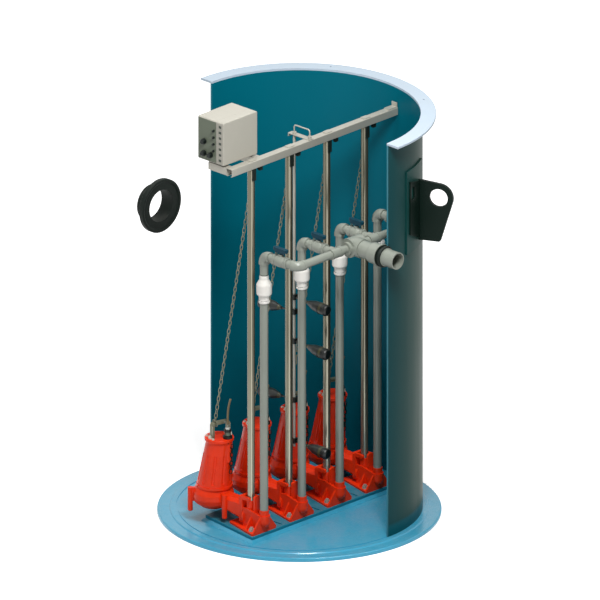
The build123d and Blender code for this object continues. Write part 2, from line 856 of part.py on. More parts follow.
def make_manifold():
    """Run of pipe along Y with corner elbows, tees, bushings and the big outlet tee."""
    z, x, r = manifold_height, manifold_x, riser_radius
    first, last = stations[0], stations[-1]
    turn = elbow_turn
    body = bar_y(r, x, first + turn, tee_low + 10, z) + bar_y(r, x, tee_high - 10, last - turn, z)
    bore = bar_y(pipe_bore, x, first + turn, last - turn, z)
    for y, way in ((first, 1), (last, -1)):
        body += bend(fitting_radius, (x, y, z), turn, (-1, 0, 0), (0, way, 0))
        body += bar_x(fitting_rim_radius, x - turn - 8, x - turn, y, z)
        low, high = sorted((y + way * turn, y + way * (turn + fitting_rim)))
        body += bar_y(fitting_rim_radius, x, low, high, z)
        bore += bend(pipe_bore, (x, y, z), turn, (-1, 0, 0), (0, way, 0))
    for y in stations[1:-1]:
        body += bar_y(fitting_radius, x, y - tee_arm, y + tee_arm, z)
        body += bar_x(fitting_radius, x - tee_arm, x, y, z)
        for end in (-1, 1):
            low, high = sorted((y + end * tee_arm, y + end * (tee_arm - fitting_rim)))
            body += bar_y(fitting_rim_radius, x, low, high, z)
    for y in stations:
        body += bar_x(r, valve_x + valve_half - valve_socket, x - turn, y, z)
        bore += bar_x(pipe_bore, valve_x, x - turn, y, z)
    for y in stations[1:-1]:
        bore += bar_x(pipe_bore, valve_x, x, y, z)
    # outlet tee with a bushing at each end of its run
    body += bar_y(main_tee_radius, x, tee_low + bushing_step, tee_high - bushing_step, z)
    body += bar_y(bushing_radius, x, tee_low, tee_high, z)
    body += bar_x(main_tee_radius, x, x + main_tee_arm, outlet_y, z)
    bore += bar_x(outlet_radius - outlet_wall, x, outlet_start + 1, outlet_y, z)
    bore += bar_x(outlet_radius, outlet_start, x + main_tee_arm + 1, outlet_y, z)
    return body - bore


def make_outlet_pipe():
    """Outlet pipe with the glued coupling and its collar, and the stop ring behind its free end."""
    z, y = manifold_height, outlet_y
    pipe = bar_x(outlet_radius, outlet_start, outlet_end, y, z)
    stop = shell_radius + stop_ring_set_out
    pipe += bar_x(outlet_radius + stop_ring_height, stop, stop + stop_ring_width, y, z)
    pipe += along_x([
        (outlet_radius - 1, coupling_start),
        (coupling_radius - 2, coupling_start, 3),
        (coupling_radius, coupling_start + 8),
        (coupling_radius, coupling_end),
        (collar_radius, coupling_end + 1),
        (collar_radius, coupling_end + collar_length, 2),
        (outlet_radius - 1, coupling_end + collar_length),
    ], 0, y, z)
    return pipe - bar_x(outlet_radius - outlet_wall, outlet_start - 1, outlet_end + 1, y, z)


# ---- pump ---------------------------------------------------------------------------

def make_volute():
    """Round casing with feet, the discharge arm, coupling plate and rail claws."""
    low, high, r = volute_bottom, volute_top, volute_radius
    bowl = turned([
        (0, low),
        (r - 42, low, 4),
        (r - 8, low + 26, 26),
        (r, low + 52, 16),
        (r - 2, high - 32, 14),
        (motor_bottom_radius + 3, high - 6, 4),
        (motor_bottom_radius - 2, high),
        (0, high),
    ])
    body = Pos(pump_x - volute_set_back, 0, 0) * bowl
    for angle in leg_angles:
        leg = post(leg_radius, leg_circle, 0, leg_bottom, leg_top)
        leg += block(r - 30, leg_circle, -leg_radius * 0.7, leg_radius * 0.7, low + 26, leg_top)
        leg = chamfer(leg.edges().filter_by(GeomType.CIRCLE).group_by(Axis.Z)[0], 4)
        body += Pos(pump_x, 0, 0) * Rot(0, 0, angle) * leg
    # discharge arm: a loft from the casing to the coupling plate
    plate_x = coupling_plate_x
    wide = Plane(origin=(pump_x + 30, 0, 0), x_dir=(0, 1, 0), z_dir=(1, 0, 0))
    thin = Plane(origin=(plate_x + 4, 0, 0), x_dir=(0, 1, 0), z_dir=(1, 0, 0))
    arm_root = chamfer(Rectangle(arm_width, arm_top - arm_bottom).vertices(), arm_corner)
    end_top, end_bottom = arm_top - 6, inlet_height - arm_end_drop
    arm_end = chamfer(Rectangle(coupling_plate_width, end_top - end_bottom).vertices(), arm_end_corner)
    start = wide * (Pos(0, (arm_top + arm_bottom) / 2) * arm_root)
    stop = thin * (Pos(0, (end_top + end_bottom) / 2) * arm_end)
    body += loft([start, stop], ruled=True)
    # coupling plate that hangs on the pedestal's face
    face = pedestal_face_x - wall_gap
    half = coupling_plate_width / 2
    plate = block(plate_x, face, -half, half, inlet_height - inlet_flange_radius + 2, claw_top)
    plate = fillet(plate.edges().filter_by(Axis.X).group_by(Axis.Z)[0], 24)
    plate = fillet(plate.edges().filter_by(Axis.X).group_by(Axis.Z)[-1], 8)
    body += plate
    # claws that run on each side of the rail, above its seat
    claw_low = rail_seat_top + 2
    inner = rail_radius + claw_gap
    for side in (-1, 1):
        low_y, high_y = sorted((side * inner, side * (inner + claw_thickness)))
        claw = block(face - 10, claw_reach, low_y, high_y, claw_low, claw_top)
        claw = fillet(claw.edges().filter_by(Axis.Y).group_by(Axis.X)[-1], 8)
        body += claw
    body -= post(inner, rail_x, 0, claw_low - 1, claw_top + 1)
    # pump chamber, suction opening, shaft hole, discharge passage
    body -= post(volute_cavity_radius, pump_x, 0, volute_cavity_bottom, volute_cavity_top)
    body -= post(suction_radius, pump_x, 0, low - 1, volute_cavity_bottom + 1)
    body -= post(shaft_radius + shaft_room, pump_x, 0, volute_cavity_top - 1, high + 1)
    # the passage falls from the top of the chamber to the pedestal's inlet
    mouth = Vector(pump_x + 40, 0, volute_cavity_top - water_bore_radius - 2)
    passage = Vector(face + 1, 0, inlet_height) - mouth
    body -= Plane(origin=mouth, z_dir=passage) * Pos(0, 0, passage.length / 2) * Cylinder(
        water_bore_radius, passage.length)
    return body


def make_motor_housing():
    """Cast motor can: foot flange, leaning taper with flutes, top rim, terminal boss."""
    rise = motor_neck - motor_foot_top
    lean = Vector(motor_lean, 0, rise)
    foot_centre = Vector(pump_x, 0, motor_foot_top)
    # the can's cone runs on past its foot and its neck, and is cut level at both
    spare = 0.1
    shrink = (motor_bottom_radius - motor_top_radius) * spare
    cone = Cone(motor_bottom_radius + shrink, motor_top_radius - shrink, lean.length * (1 + 2 * spare))
    can = Plane(origin=foot_centre + lean * 0.5, z_dir=lean) * cone
    can &= Pos(pump_x, 0, (volute_top + rim_top - 8) / 2) * Box(400, 400, rim_top - 8 - volute_top)
    # flutes follow the taper of the can
    for k in range(flute_count):
        angle = math.radians(360 * (k + 0.5) / flute_count)
        ends = []
        for z in (flute_bottom, flute_top):
            share = (z - motor_foot_top) / rise
            r = motor_bottom_radius + (motor_top_radius - motor_bottom_radius) * share + flute_radius * 0.45
            cx = pump_x + motor_lean * share
            ends.append(Vector(cx + r * math.cos(angle), r * math.sin(angle), z))
        run = ends[1] - ends[0]
        flute = Pos(0, 0, run.length / 2) * Cylinder(flute_radius, run.length)
        can -= Plane(origin=ends[0], z_dir=run) * flute
    body = can + post(motor_flange_radius, pump_x, 0, volute_top, motor_foot_top)
    body += Pos(rim_x, 0, 0) * turned([
        (0, motor_neck - 4),
        (motor_top_radius - 6, motor_neck - 4),
        (rim_radius, motor_neck + 7, 3),
        (rim_radius, rim_top, 4),
        (0, rim_top),
    ])
    # terminal chamber boss under the gland, and the bearing bore for the shaft
    boss = post(terminal_boss_radius, gland_centre_x - 6, gland_y, motor_neck - 110, motor_neck + 2)
    body += chamfer(boss.edges().group_by(Axis.Z)[0], 10)
    body -= post(shaft_radius + shaft_room, pump_x, 0, volute_top - 1, bearing_bottom)
    body -= post(shaft_radius + bearing_gap, pump_x, 0, bearing_bottom - 1, bearing_bottom + bearing_length)
    body -= post(shaft_radius + shaft_room, pump_x, 0, bearing_bottom + bearing_length, shaft_top + 6)
    return body


def hex_bolt(across, height, x, y, low):
    """Hexagon head standing on a face."""
    return Pos(x, y, low) * extrude(RegularPolygon(across / 2, 6, major_radius=False), height)


def make_pump_top():
    """Bail, its foot bolts, the cable gland stack and the rim bolts."""
    half, t, crown = bail_half_span, bail_thickness, bail_crown
    bail = prism_y([
        (-half, rim_top),
        (-half, bail_height, crown),
        (half, bail_height, crown),
        (half, rim_top),
        (half - t, rim_top),
        (half - t, bail_height - t, crown - t),
        (-half + t, bail_height - t, crown - t),
        (-half + t, rim_top),
    ], -bail_width / 2, bail_width / 2)
    foot_end = half + bail_foot_length
    foot = block(-foot_end, foot_end, -bail_width / 2, bail_width / 2, rim_top, rim_top + bail_foot_thickness)
    foot = chamfer(foot.edges().filter_by(Axis.Z), bail_width / 4)
    bail += foot - block(t - half, half - t, -bail_width, bail_width, rim_top - 1, bail_height)
    bolt_reach = half + bail_foot_length / 2
    for side in (-1, 1):
        bail += hex_bolt(bail_bolt_hex, bail_bolt_head, side * bolt_reach, 0, rim_top + bail_foot_thickness)
    bail = Pos(bail_x, bail_y, 0) * Rot(0, 0, bail_angle) * bail
    low = rim_top
    # base, body, cap, nut and the sleeve the cable comes out of
    gland = turned([
        (0, low),
        (gland_base_radius, low),
        (gland_base_radius, low + 12),
        (gland_body_radius, low + 13),
        (gland_body_radius, low + 34),
        (gland_cap_radius, low + 35),
        (gland_cap_radius, low + 47),
        (gland_nut_radius, low + 49),
        (gland_nut_radius, low + 57),
        (cable_radius + 3, low + 59),
        (cable_radius + 3, gland_top),
        (0, gland_top),
    ])
    gland = Pos(gland_centre_x, gland_y, 0) * gland
    bolts = []
    for k in range(6):
        angle = math.radians(60 * k + 45)
        x, y = rim_x + rim_bolt_circle * math.cos(angle), rim_bolt_circle * math.sin(angle)
        reach = rim_bolt_hex / 2 + rim_bolt_clearance
        clear_gland = math.hypot(x - gland_centre_x, y - gland_y) > gland_base_radius + reach
        foot_gap = min(
            math.hypot(x - bail_x - s * bail_dx * bolt_reach, y - bail_y - s * bail_dy * bolt_reach)
            for s in (-1, 1))
        if clear_gland and foot_gap > bail_width / 2 + reach:
            bolts.append(hex_bolt(rim_bolt_hex, rim_bolt_head, x, y, rim_top))
    return Compound([p.solids()[0] for p in [bail, gland] + bolts])


def make_power_cable():
    return post(cable_radius, gland_centre_x, gland_y, gland_top, gland_top + cable_length)


def make_rotor():
    """Shaft with impeller and the grinder cutter below it."""
    body = post(shaft_radius, 0, 0, shaft_bottom, shaft_top)
    vane_top = impeller_bottom + impeller_vane
    body += post(impeller_radius, 0, 0, vane_top, vane_top + impeller_plate)
    body += post(20, 0, 0, impeller_bottom, vane_top + 1)
    for k in range(vane_count):
        vane = block(14, impeller_radius - 2, -2.5, 2.5, impeller_bottom + 6, vane_top + 1)
        body += Rot(0, 0, 360 / vane_count * k) * vane
    cutter = post(cutter_radius - 12, 0, 0, cutter_bottom, cutter_bottom + cutter_thickness)
    for k in range(3):
        blade = block(0, cutter_radius, -7, 7, cutter_bottom, cutter_bottom + cutter_thickness)
        cutter += Rot(0, 0, 120 * k) * blade
    return Pos(pump_x, 0, 0) * (body + cutter)


def make_chain():
    """Plain tube for the chain's run from the hook down to the bail."""
    along = -bail_half_span + chain_along_bail
    foot_x, foot_y = bail_x + along * bail_dx, bail_y + along * bail_dy
    reach = math.hypot(hook_x - foot_x, hook_offset - foot_y)
    # the tube leans, so its end faces stand off by the gap plus the dip of their lower edge
    stand_off = chain_gap + chain_radius * reach / math.hypot(reach, hook_ring_foot - bail_height)
    low = Vector(foot_x, foot_y, bail_height + stand_off)
    high = Vector(hook_x, hook_offset, hook_ring_foot - stand_off)
    run = high - low
    return Plane(origin=low, z_dir=run) * (Pos(0, 0, run.length / 2) * Cylinder(chain_radius, run.length))


# ---- float tree ---------------------------------------------------------------------

def make_float(height, side):
    """Bell-shaped float on its tether; the barrel at the clamp is its hinge."""
    start = float_x + side * (clamp_size / 2 + hinge_offset)
    fall = math.asin(float_drop / (tether_length + float_length))
    tail = tether_length
    end = tail + float_length
    shape = turned([
        (0, 0),
        (tether_radius, 0),
        (tether_radius, tail - 14),
        (8, tail - 12),
        (9, tail),
        (14, tail + 8, 3),
        (float_radius - 3, tail + 46, 30),
        (float_radius, tail + 80),
        (float_radius, end - 10),
        (float_radius - 3, end - 4),
        (float_radius - 10, end),
        (0, end),
    ])
    shape += bar_y(hinge_offset - 0.5, 0, -hinge_barrel / 2, hinge_barrel / 2, 0)
    tilt = 90 + math.degrees(fall)
    return Pos(start, float_y, height) * Rot(0, side * tilt, 0) * shape


def make_float_rod():
    """Rod bent over at the top into the lifting handle, with the nut at its free end."""
    top = handle_top
    r = handle_rod
    rod = post(float_rod_radius, float_x, float_y, float_rod_bottom, beam_top - 10)
    rod += post(r, float_x, float_y, beam_top - 12, top - 12)
    rod += bend(r, (float_x, float_y, top), 12, (0, 0, -1), (1, 0, 0))
    rod += bar_x(r, float_x + 12, handle_end_x - 12, float_y, top)
    rod += bend(r, (handle_end_x, float_y, top), 12, (-1, 0, 0), (0, 0, -1))
    nut_low = beam_top + bracket_thickness + 0.3
    rod += post(r, handle_end_x, float_y, nut_low, top - 12)
    rod += post(9, handle_end_x, float_y, nut_low, nut_low + rod_nut_height)
    rod += post(11, float_x, float_y, nut_low, nut_low + 8)
    return rod


def make_float_bracket():
    low, high = float_y - bracket_width / 2, float_y + bracket_width / 2
    plate = block(bracket_back, beam_x + beam_half - 2, low, high, beam_top, beam_top + bracket_thickness)
    plate += block(bracket_back, bracket_back + 4, low, high, beam_top - 14, beam_top + 1)
    return plate - post(float_rod_radius + 1.5, float_x, float_y, beam_top - 20, beam_top + 20)


def make_float_clamps():
    pieces = []
    half = clamp_size / 2
    for height in float_heights:
        low, high = height - clamp_height / 2, height + clamp_height / 2
        clamp = block(float_x - half, float_x + half, float_y - half, float_y + half, low, high)
        clamp = fillet(clamp.edges().filter_by(Axis.Z), 6)
        clamp -= post(float_rod_radius, float_x, float_y, low - 1, high + 1)
        pieces.append(clamp)
    return Compound([p.solids()[0] for p in pieces])


# ---- junction box -------------------------------------------------------------------

def tray(x_open, x_closed, y_low, y_high, z_low, z_high):
    """Five-sided shell, open at x_open, with rounded edges on its closed side."""
    low, high = sorted((x_open, x_closed))
    outer = block(low, high, y_low, y_high, z_low, z_high)
    outer = fillet(outer.edges().filter_by(Axis.X), box_round)
    closed = outer.edges().group_by(Axis.X)[-1 if x_closed > x_open else 0]
    outer = fillet(closed, 5)
    w = box_wall
    way = 1 if x_closed > x_open else -1
    inner_low, inner_high = sorted((x_open - way, x_closed - way * w))
    inner = block(inner_low, inner_high, y_low + w, y_high - w, z_low + w, z_high - w)
    inner = fillet(inner.edges().filter_by(Axis.X), box_round - w)
    return outer - inner


def knuckle(z, length):
    return post(knuckle_radius, box_split, box_far + box_hinge_offset, z, z + length)


def make_box_body():
    split = box_split - lid_gap
    body = tray(split, box_back, box_near, box_far, box_bottom, box_top)
    middle = (box_bottom + box_top) / 2
    for z in (box_bottom + 24, box_top - 24 - 2 * knuckle_length):
        body += knuckle(z, knuckle_length)
        body += block(split - 14, split - 3, box_far - 2, box_far + 3, z, z + knuckle_length)
        body += block(split - 6, split, box_far, box_far + box_hinge_offset, z, z + knuckle_length)
        pin_top = z + 2 * knuckle_length
        body += post(hinge_pin_radius, box_split, box_far + box_hinge_offset, z + knuckle_length, pin_top)
    # strap behind the box that its feet bolt to
    body += block(box_back - 4, box_back + 2, box_near + 40, box_far - 40, middle - 20, middle + 20)
    return body


def make_box_lid():
    split = box_split + lid_gap
    lid = tray(split, box_front, box_near, box_far, box_bottom, box_top)
    middle = (box_bottom + box_top) / 2
    hinge_y = box_far + box_hinge_offset
    # ladder of pockets along the side of the lid
    for k in range(ladder_count):
        z = middle + (k - (ladder_count - 1) / 2) * ladder_pitch
        lid -= block(split + 16, split + 35, box_near - 1, box_near + 2.2, z - 7, z + 7)
    for z in (box_bottom + 24, box_top - 24 - 2 * knuckle_length):
        start = z + knuckle_length + lid_gap
        length = knuckle_length - lid_gap
        part = knuckle(start, length)
        part += block(split, split + 8, box_far - 2, hinge_y, start, start + length)
        part -= post(hinge_pin_radius + 0.05, box_split, hinge_y, start - 1, start + length + 1)
        lid += part
    return lid


def make_box_glands():
    pieces = []
    places = [(x, z, gland_ring_radius, gland_ring_length) for x, z in large_gland_places]
    for k in range(small_gland_count):
        z = small_gland_top - small_gland_pitch * k
        places.append((small_gland_x, z, small_gland_radius, small_gland_length))
    for x, z, r, length in places:
        gland = turned([
            (0, 0),
            (r, 0),
            (r, length * 0.35),
            (r * 0.86, length * 0.35),
            (r * 0.86, length * 0.8),
            (r * 0.55, length),
            (0, length),
        ])
        pieces.append(Pos(x, box_near, z) * Rot(90, 0, 0) * gland)
    return Compound([p.solids()[0] for p in pieces])


def make_box_terminals():
    """Mounting rail with a row of terminal blocks on the box's back wall."""
    back = box_back + box_wall
    middle = (box_bottom + box_top) / 2
    rail = block(back, back + 8, box_near + 30, box_far - 30, middle - 17, middle + 17)
    for k in range(terminal_count):
        y = box_near + 44 + terminal_pitch * k
        rail += block(back + 7, back + 44, y, y + terminal_width, middle - 24, middle + 24)
    return rail


# ---- build every node ---------------------------------------------------------------

save("base_pan", make_base_pan())
save("basin_shell", make_basin_shell())
save("top_flange", make_top_flange())
save("floor_plate", make_floor_plate())
save("lifting_lug", make_lifting_lug())
save("inlet_hub", make_inlet_hub())
save("outlet_seal", make_outlet_seal())
save("anchor_bolts", make_anchor_bolts())
save("rail_beam", make_rail_beam())
save("beam_fittings", make_beam_fittings())
save("rail_hangers", make_rail_hangers())
save("manifold", make_manifold())
save("outlet_pipe", make_outlet_pipe())

# fixed pieces that repeat at each station, four solids to a node
fixed_sets = {
    "pedestals": make_pedestal(),
    "guide_rails": make_guide_rail(),
    "risers": make_riser(),
    "check_valves": make_check_valve(),
    "branches": make_branch(),
    "valve_bodies": make_valve_body(),
}
for name, shape in fixed_sets.items():
    save(name, Compound([Pos(0, y, 0) * one_solid(shape) for y in stations]))

# moving pieces, a node for each station
moving_pieces = {
    "valve_lever": make_valve_lever(),
    "volute": make_volute(),
    "motor_housing": make_motor_housing(),
    "pump_top": make_pump_top(),
    "power_cable": make_power_cable(),
    "rotor": make_rotor(),
    "lifting_chain": make_chain(),
}
for name, shape in moving_pieces.items():
    for k, y in enumerate(stations):
        save(f"{name}_{k + 1}", Pos(0, y, 0) * shape)

for k, (height, side) in enumerate(zip(float_heights, float_sides)):
    save(f"float_{k + 1}", make_float(height, side))
save("float_rod", make_float_rod())
save("float_bracket", make_float_bracket())
save("float_clamps", make_float_clamps())
save("box_body", make_box_body())
save("box_lid", make_box_lid())
save("box_glands", make_box_glands())
save("box_terminals", make_box_terminals())
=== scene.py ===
import bpy
import bmesh
import json
import math
from mathutils import Matrix, Vector


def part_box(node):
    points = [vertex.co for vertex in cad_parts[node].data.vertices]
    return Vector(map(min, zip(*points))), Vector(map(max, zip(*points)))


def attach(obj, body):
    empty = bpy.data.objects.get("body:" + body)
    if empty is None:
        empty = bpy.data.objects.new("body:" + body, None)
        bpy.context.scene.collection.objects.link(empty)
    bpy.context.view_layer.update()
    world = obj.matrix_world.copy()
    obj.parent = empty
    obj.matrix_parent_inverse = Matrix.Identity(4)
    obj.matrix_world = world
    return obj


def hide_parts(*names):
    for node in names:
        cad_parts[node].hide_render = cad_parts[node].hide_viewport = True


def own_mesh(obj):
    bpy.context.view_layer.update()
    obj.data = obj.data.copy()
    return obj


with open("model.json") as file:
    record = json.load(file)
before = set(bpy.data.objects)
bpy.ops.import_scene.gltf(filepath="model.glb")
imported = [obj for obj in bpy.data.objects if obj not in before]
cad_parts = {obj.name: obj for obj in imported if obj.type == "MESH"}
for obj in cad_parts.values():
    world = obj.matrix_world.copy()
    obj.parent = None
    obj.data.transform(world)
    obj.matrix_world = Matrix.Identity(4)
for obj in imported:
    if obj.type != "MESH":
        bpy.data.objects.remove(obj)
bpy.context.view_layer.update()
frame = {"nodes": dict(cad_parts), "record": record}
nodes = frame["nodes"]
stations = (1, 2, 3, 4)
floats = (1, 2, 3, 4, 5)


def middleOf(node):
    low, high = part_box(node)
    return (low + high) / 2


stationY = [middleOf(f"motor_housing_{k}").y for k in stations]
stationPitch = stationY[1] - stationY[0]
print("packed model loaded,", len(nodes), "nodes")


camera = {
    "azimuth": 44.0,                        # degrees, from the open side round to the outlet
    "elevation": 21.4,
    "aim": (0.0025, 0.0024, 1.1337),
    "viewWidth": 3.010,                     # metres across
    "distance": 9.0,
    "farthest": 40.0,
}


def wayTo(azimuth, elevation):
    a, e = math.radians(azimuth), math.radians(elevation)
    return Vector((math.sin(a) * math.cos(e), -math.cos(a) * math.cos(e), math.sin(e)))


def addCamera(c):
    lens = bpy.data.cameras.new("stationCamera")
    lens.type = "ORTHO"
    lens.ortho_scale = c["viewWidth"]
    lens.clip_end = c["farthest"]
    seen = bpy.data.objects.new("stationCamera", lens)
    bpy.context.scene.collection.objects.link(seen)
    way = wayTo(c["azimuth"], c["elevation"])
    seen.location = Vector(c["aim"]) + way * c["distance"]
    seen.rotation_mode = "QUATERNION"
    seen.rotation_quaternion = (-way).to_track_quat("-Z", "Y")
    bpy.context.scene.camera = seen


addCamera(camera)


def tint(red, green, blue):
    # 0 to 255 screen values to the linear values that shaders take
    def one(v):
        v = v / 255
        return v / 12.92 if v <= 0.04045 else ((v + 0.055) / 1.055) ** 2.4
    return (one(red), one(green), one(blue), 1.0)


def link(tree, fromNode, fromSocket, toNode, toSocket):
    tree.links.new(fromNode.outputs[fromSocket], toNode.inputs[toSocket])


def groupTree(name, inputs, outputs):
    tree = bpy.data.node_groups.new(name, "ShaderNodeTree")
    for label, kind, value in inputs:
        socket = tree.interface.new_socket(name=label, in_out="INPUT", socket_type=kind)
        socket.default_value = value
    for label, kind in outputs:
        tree.interface.new_socket(name=label, in_out="OUTPUT", socket_type=kind)
    return tree, tree.nodes.new("NodeGroupInput"), tree.nodes.new("NodeGroupOutput")


def mathNode(tree, operation, a=None, b=None):
    node = tree.nodes.new("ShaderNodeMath")
    node.operation = operation
    if a is not None:
        node.inputs[0].default_value = a
    if b is not None:
        node.inputs[1].default_value = b
    return node


def noiseNode(tree, detail, rough, scale=1.0):
    node = tree.nodes.new("ShaderNodeTexNoise")
    node.inputs["Scale"].default_value = scale
    node.inputs["Detail"].default_value = detail
    node.inputs["Roughness"].default_value = rough
    return node


def rangeNode(tree, low, high, toLow=0.0, toHigh=1.0):
    node = tree.nodes.new("ShaderNodeMapRange")
    node.inputs["From Min"].default_value = low
    node.inputs["From Max"].default_value = high
    node.inputs["To Min"].default_value = toLow
    node.inputs["To Max"].default_value = toHigh
    return node


def vectorNode(tree, operation, second=None):
    node = tree.nodes.new("ShaderNodeVectorMath")
    node.operation = operation
    if second is not None:
        node.inputs[1].default_value = second
    return node


def mixColour(tree, a=None, b=None):
    node = tree.nodes.new("ShaderNodeMix")
    node.data_type = "RGBA"
    for label, colour in (("A", a), ("B", b)):
        if colour is not None:
            node.inputs[label].default_value = colour
    return node


def rampNode(tree, stops, kind):
    # colour ramp through (position, colour) stops
    node = tree.nodes.new("ShaderNodeValToRGB")
    ramp = node.color_ramp
    ramp.interpolation = kind
    while len(ramp.elements) < len(stops):
        ramp.elements.new(0.5)
    for element, (at, colour) in zip(ramp.elements, stops):
        element.position = at
        element.color = colour
    return node


def objectParts(tree):
    # X, Y and Z of a point in its piece's own space
    where = tree.nodes.new("ShaderNodeTexCoord")
    parts = tree.nodes.new("ShaderNodeSeparateXYZ")
    link(tree, where, "Object", parts, "Vector")
    return parts


midGrey = (0.5, 0.5, 0.5, 1)
effectLook = {
    # detail and roughness of each effect's noise
    "blotchNoise": (5.0, 0.6), "wearNoise": (9.0, 0.68),
    "lineNoise": (3.0, 0.5), "dustNoise": (8.0, 0.7),
    "blotchGain": 4.0,
    "wearStart": 0.78,                      # noise value over which a finish is worn, at amount 0
    "wearSpread": 0.3,                      # how far an amount of 1 brings that down
    "wearSharp": 14.0,
    "dustUp": (0.55, 1.0),                  # how far up a face looks, from bare to dusty
    "dustScale": 18.0, "dustPatch": (0.35, 0.7),
}


def makeBlotch(p):
    # slow lightness changes over a surface, as moulded and sprayed skins have
    tree, start, end = groupTree("blotch", [
        ("Colour", "NodeSocketColor", midGrey),
        ("Scale", "NodeSocketFloat", 4.0),
        ("Depth", "NodeSocketFloat", 0.12),
    ], [("Colour", "NodeSocketColor")])
    where = tree.nodes.new("ShaderNodeTexCoord")
    cloud = noiseNode(tree, *p["blotchNoise"])
    link(tree, where, "Object", cloud, "Vector")
    link(tree, start, "Scale", cloud, "Scale")
    centred = mathNode(tree, "SUBTRACT", b=0.5)
    link(tree, cloud, "Fac", centred, 0)
    deep = mathNode(tree, "MULTIPLY")
    link(tree, centred, 0, deep, 0)
    link(tree, start, "Depth", deep, 1)
    value = mathNode(tree, "MULTIPLY_ADD", b=p["blotchGain"])
    value.inputs[2].default_value = 1.0
    link(tree, deep, 0, value, 0)
    shade = tree.nodes.new("ShaderNodeHueSaturation")
    link(tree, start, "Colour", shade, "Color")
    link(tree, value, 0, shade, "Value")
    link(tree, shade, "Color", end, "Colour")
    return tree


def coverEnd(tree, start, end, mask, over):
    # the group's colour, with a second one over it where the mask is
    mix = mixColour(tree)
    link(tree, mask, 0, mix, "Factor")
    link(tree, start, "Colour", mix, "A")
    link(tree, start, over, mix, "B")
    link(tree, mix, "Result", end, "Colour")


def makeWear(p):
    # scuffed patches where the finish is thin
    tree, start, end = groupTree("wear", [
        ("Colour", "NodeSocketColor", midGrey),
        ("Worn Colour", "NodeSocketColor", (0.3, 0.3, 0.3, 1)),
        ("Scale", "NodeSocketFloat", 30.0),
        ("Amount", "NodeSocketFloat", 0.2),
    ], [("Colour", "NodeSocketColor")])
    where = tree.nodes.new("ShaderNodeTexCoord")
    fine = noiseNode(tree, *p["wearNoise"])
    link(tree, where, "Object", fine, "Vector")
    link(tree, start, "Scale", fine, "Scale")
    edge = mathNode(tree, "SUBTRACT", a=p["wearStart"])
    share = mathNode(tree, "MULTIPLY", b=p["wearSpread"])
    link(tree, start, "Amount", share, 0)
    link(tree, share, 0, edge, 1)
    over = mathNode(tree, "SUBTRACT")
    link(tree, fine, "Fac", over, 0)
    link(tree, edge, 0, over, 1)
    mask = mathNode(tree, "MULTIPLY", b=p["wearSharp"])
    mask.use_clamp = True
    link(tree, over, 0, mask, 0)
    coverEnd(tree, start, end, mask, "Worn Colour")
    return tree


def makeDrawn(p):
    # fine lines left by drawing, brushing or moulding, stretched along one axis
    tree, start, end = groupTree("drawnLines", [
        ("Stretch", "NodeSocketVector", (1.0, 1.0, 0.02)),
        ("Scale", "NodeSocketFloat", 400.0),
    ], [("Value", "NodeSocketFloat")])
    where = tree.nodes.new("ShaderNodeTexCoord")
    scaled = vectorNode(tree, "MULTIPLY")
    link(tree, where, "Object", scaled, 0)
    link(tree, start, "Stretch", scaled, 1)
    lines = noiseNode(tree, *p["lineNoise"])
    link(tree, scaled, 0, lines, "Vector")
    link(tree, start, "Scale", lines, "Scale")
    link(tree, lines, "Fac", end, "Value")
    return tree


def makeSettled(p):
    # pale dust on faces that look up
    tree, start, end = groupTree("settledDust", [
        ("Colour", "NodeSocketColor", midGrey),
        ("Dust Colour", "NodeSocketColor", tint(190, 188, 178)),
        ("Amount", "NodeSocketFloat", 0.15),
    ], [("Colour", "NodeSocketColor")])
    where = tree.nodes.new("ShaderNodeTexCoord")
    face = tree.nodes.new("ShaderNodeNewGeometry")
    parts = tree.nodes.new("ShaderNodeSeparateXYZ")
    link(tree, face, "Normal", parts, "Vector")
    up = rangeNode(tree, *p["dustUp"])
    link(tree, parts, "Z", up, "Value")
    cloud = noiseNode(tree, *p["dustNoise"], scale=p["dustScale"])
    link(tree, where, "Object", cloud, "Vector")
    patch = rangeNode(tree, *p["dustPatch"])
    link(tree, cloud, "Fac", patch, "Value")
    both = mathNode(tree, "MULTIPLY")
    link(tree, up, 0, both, 0)
    link(tree, patch, 0, both, 1)
    mask = mathNode(tree, "MULTIPLY")
    link(tree, both, 0, mask, 0)
    link(tree, start, "Amount", mask, 1)
    coverEnd(tree, start, end, mask, "Dust Colour")
    return tree


def makeNearAxis():
    # 1 within a reach of an upright axis that repeats at every station, 0 outside it
    tree, start, end = groupTree("nearAxis", [
        ("Axis X", "NodeSocketFloat", 0.0),
        ("Axis Y", "NodeSocketFloat", 0.0),
        ("Reach", "NodeSocketFloat", 0.03),
    ], [("Mask", "NodeSocketFloat")])
    parts = objectParts(tree)
    shifted = mathNode(tree, "SUBTRACT", b=stationY[0] - stationPitch / 2)
    link(tree, parts, "Y", shifted, 0)
    folded = mathNode(tree, "FLOORED_MODULO", b=stationPitch)
    link(tree, shifted, 0, folded, 0)
    local = mathNode(tree, "SUBTRACT", b=stationPitch / 2)
    link(tree, folded, 0, local, 0)
    squares = []
    for axis, node, socket in (("Axis X", parts, "X"), ("Axis Y", local, 0)):
        off = mathNode(tree, "SUBTRACT")
        link(tree, node, socket, off, 0)
        link(tree, start, axis, off, 1)
        square = mathNode(tree, "MULTIPLY")
        link(tree, off, 0, square, 0)
        link(tree, off, 0, square, 1)
        squares.append(square)
    total = mathNode(tree, "ADD")
    link(tree, squares[0], 0, total, 0)
    link(tree, squares[1], 0, total, 1)
    reach = mathNode(tree, "SQRT")
    link(tree, total, 0, reach, 0)
    inside = mathNode(tree, "LESS_THAN")
    link(tree, reach, 0, inside, 0)
    link(tree, start, "Reach", inside, 1)
    link(tree, inside, 0, end, "Mask")
    return tree


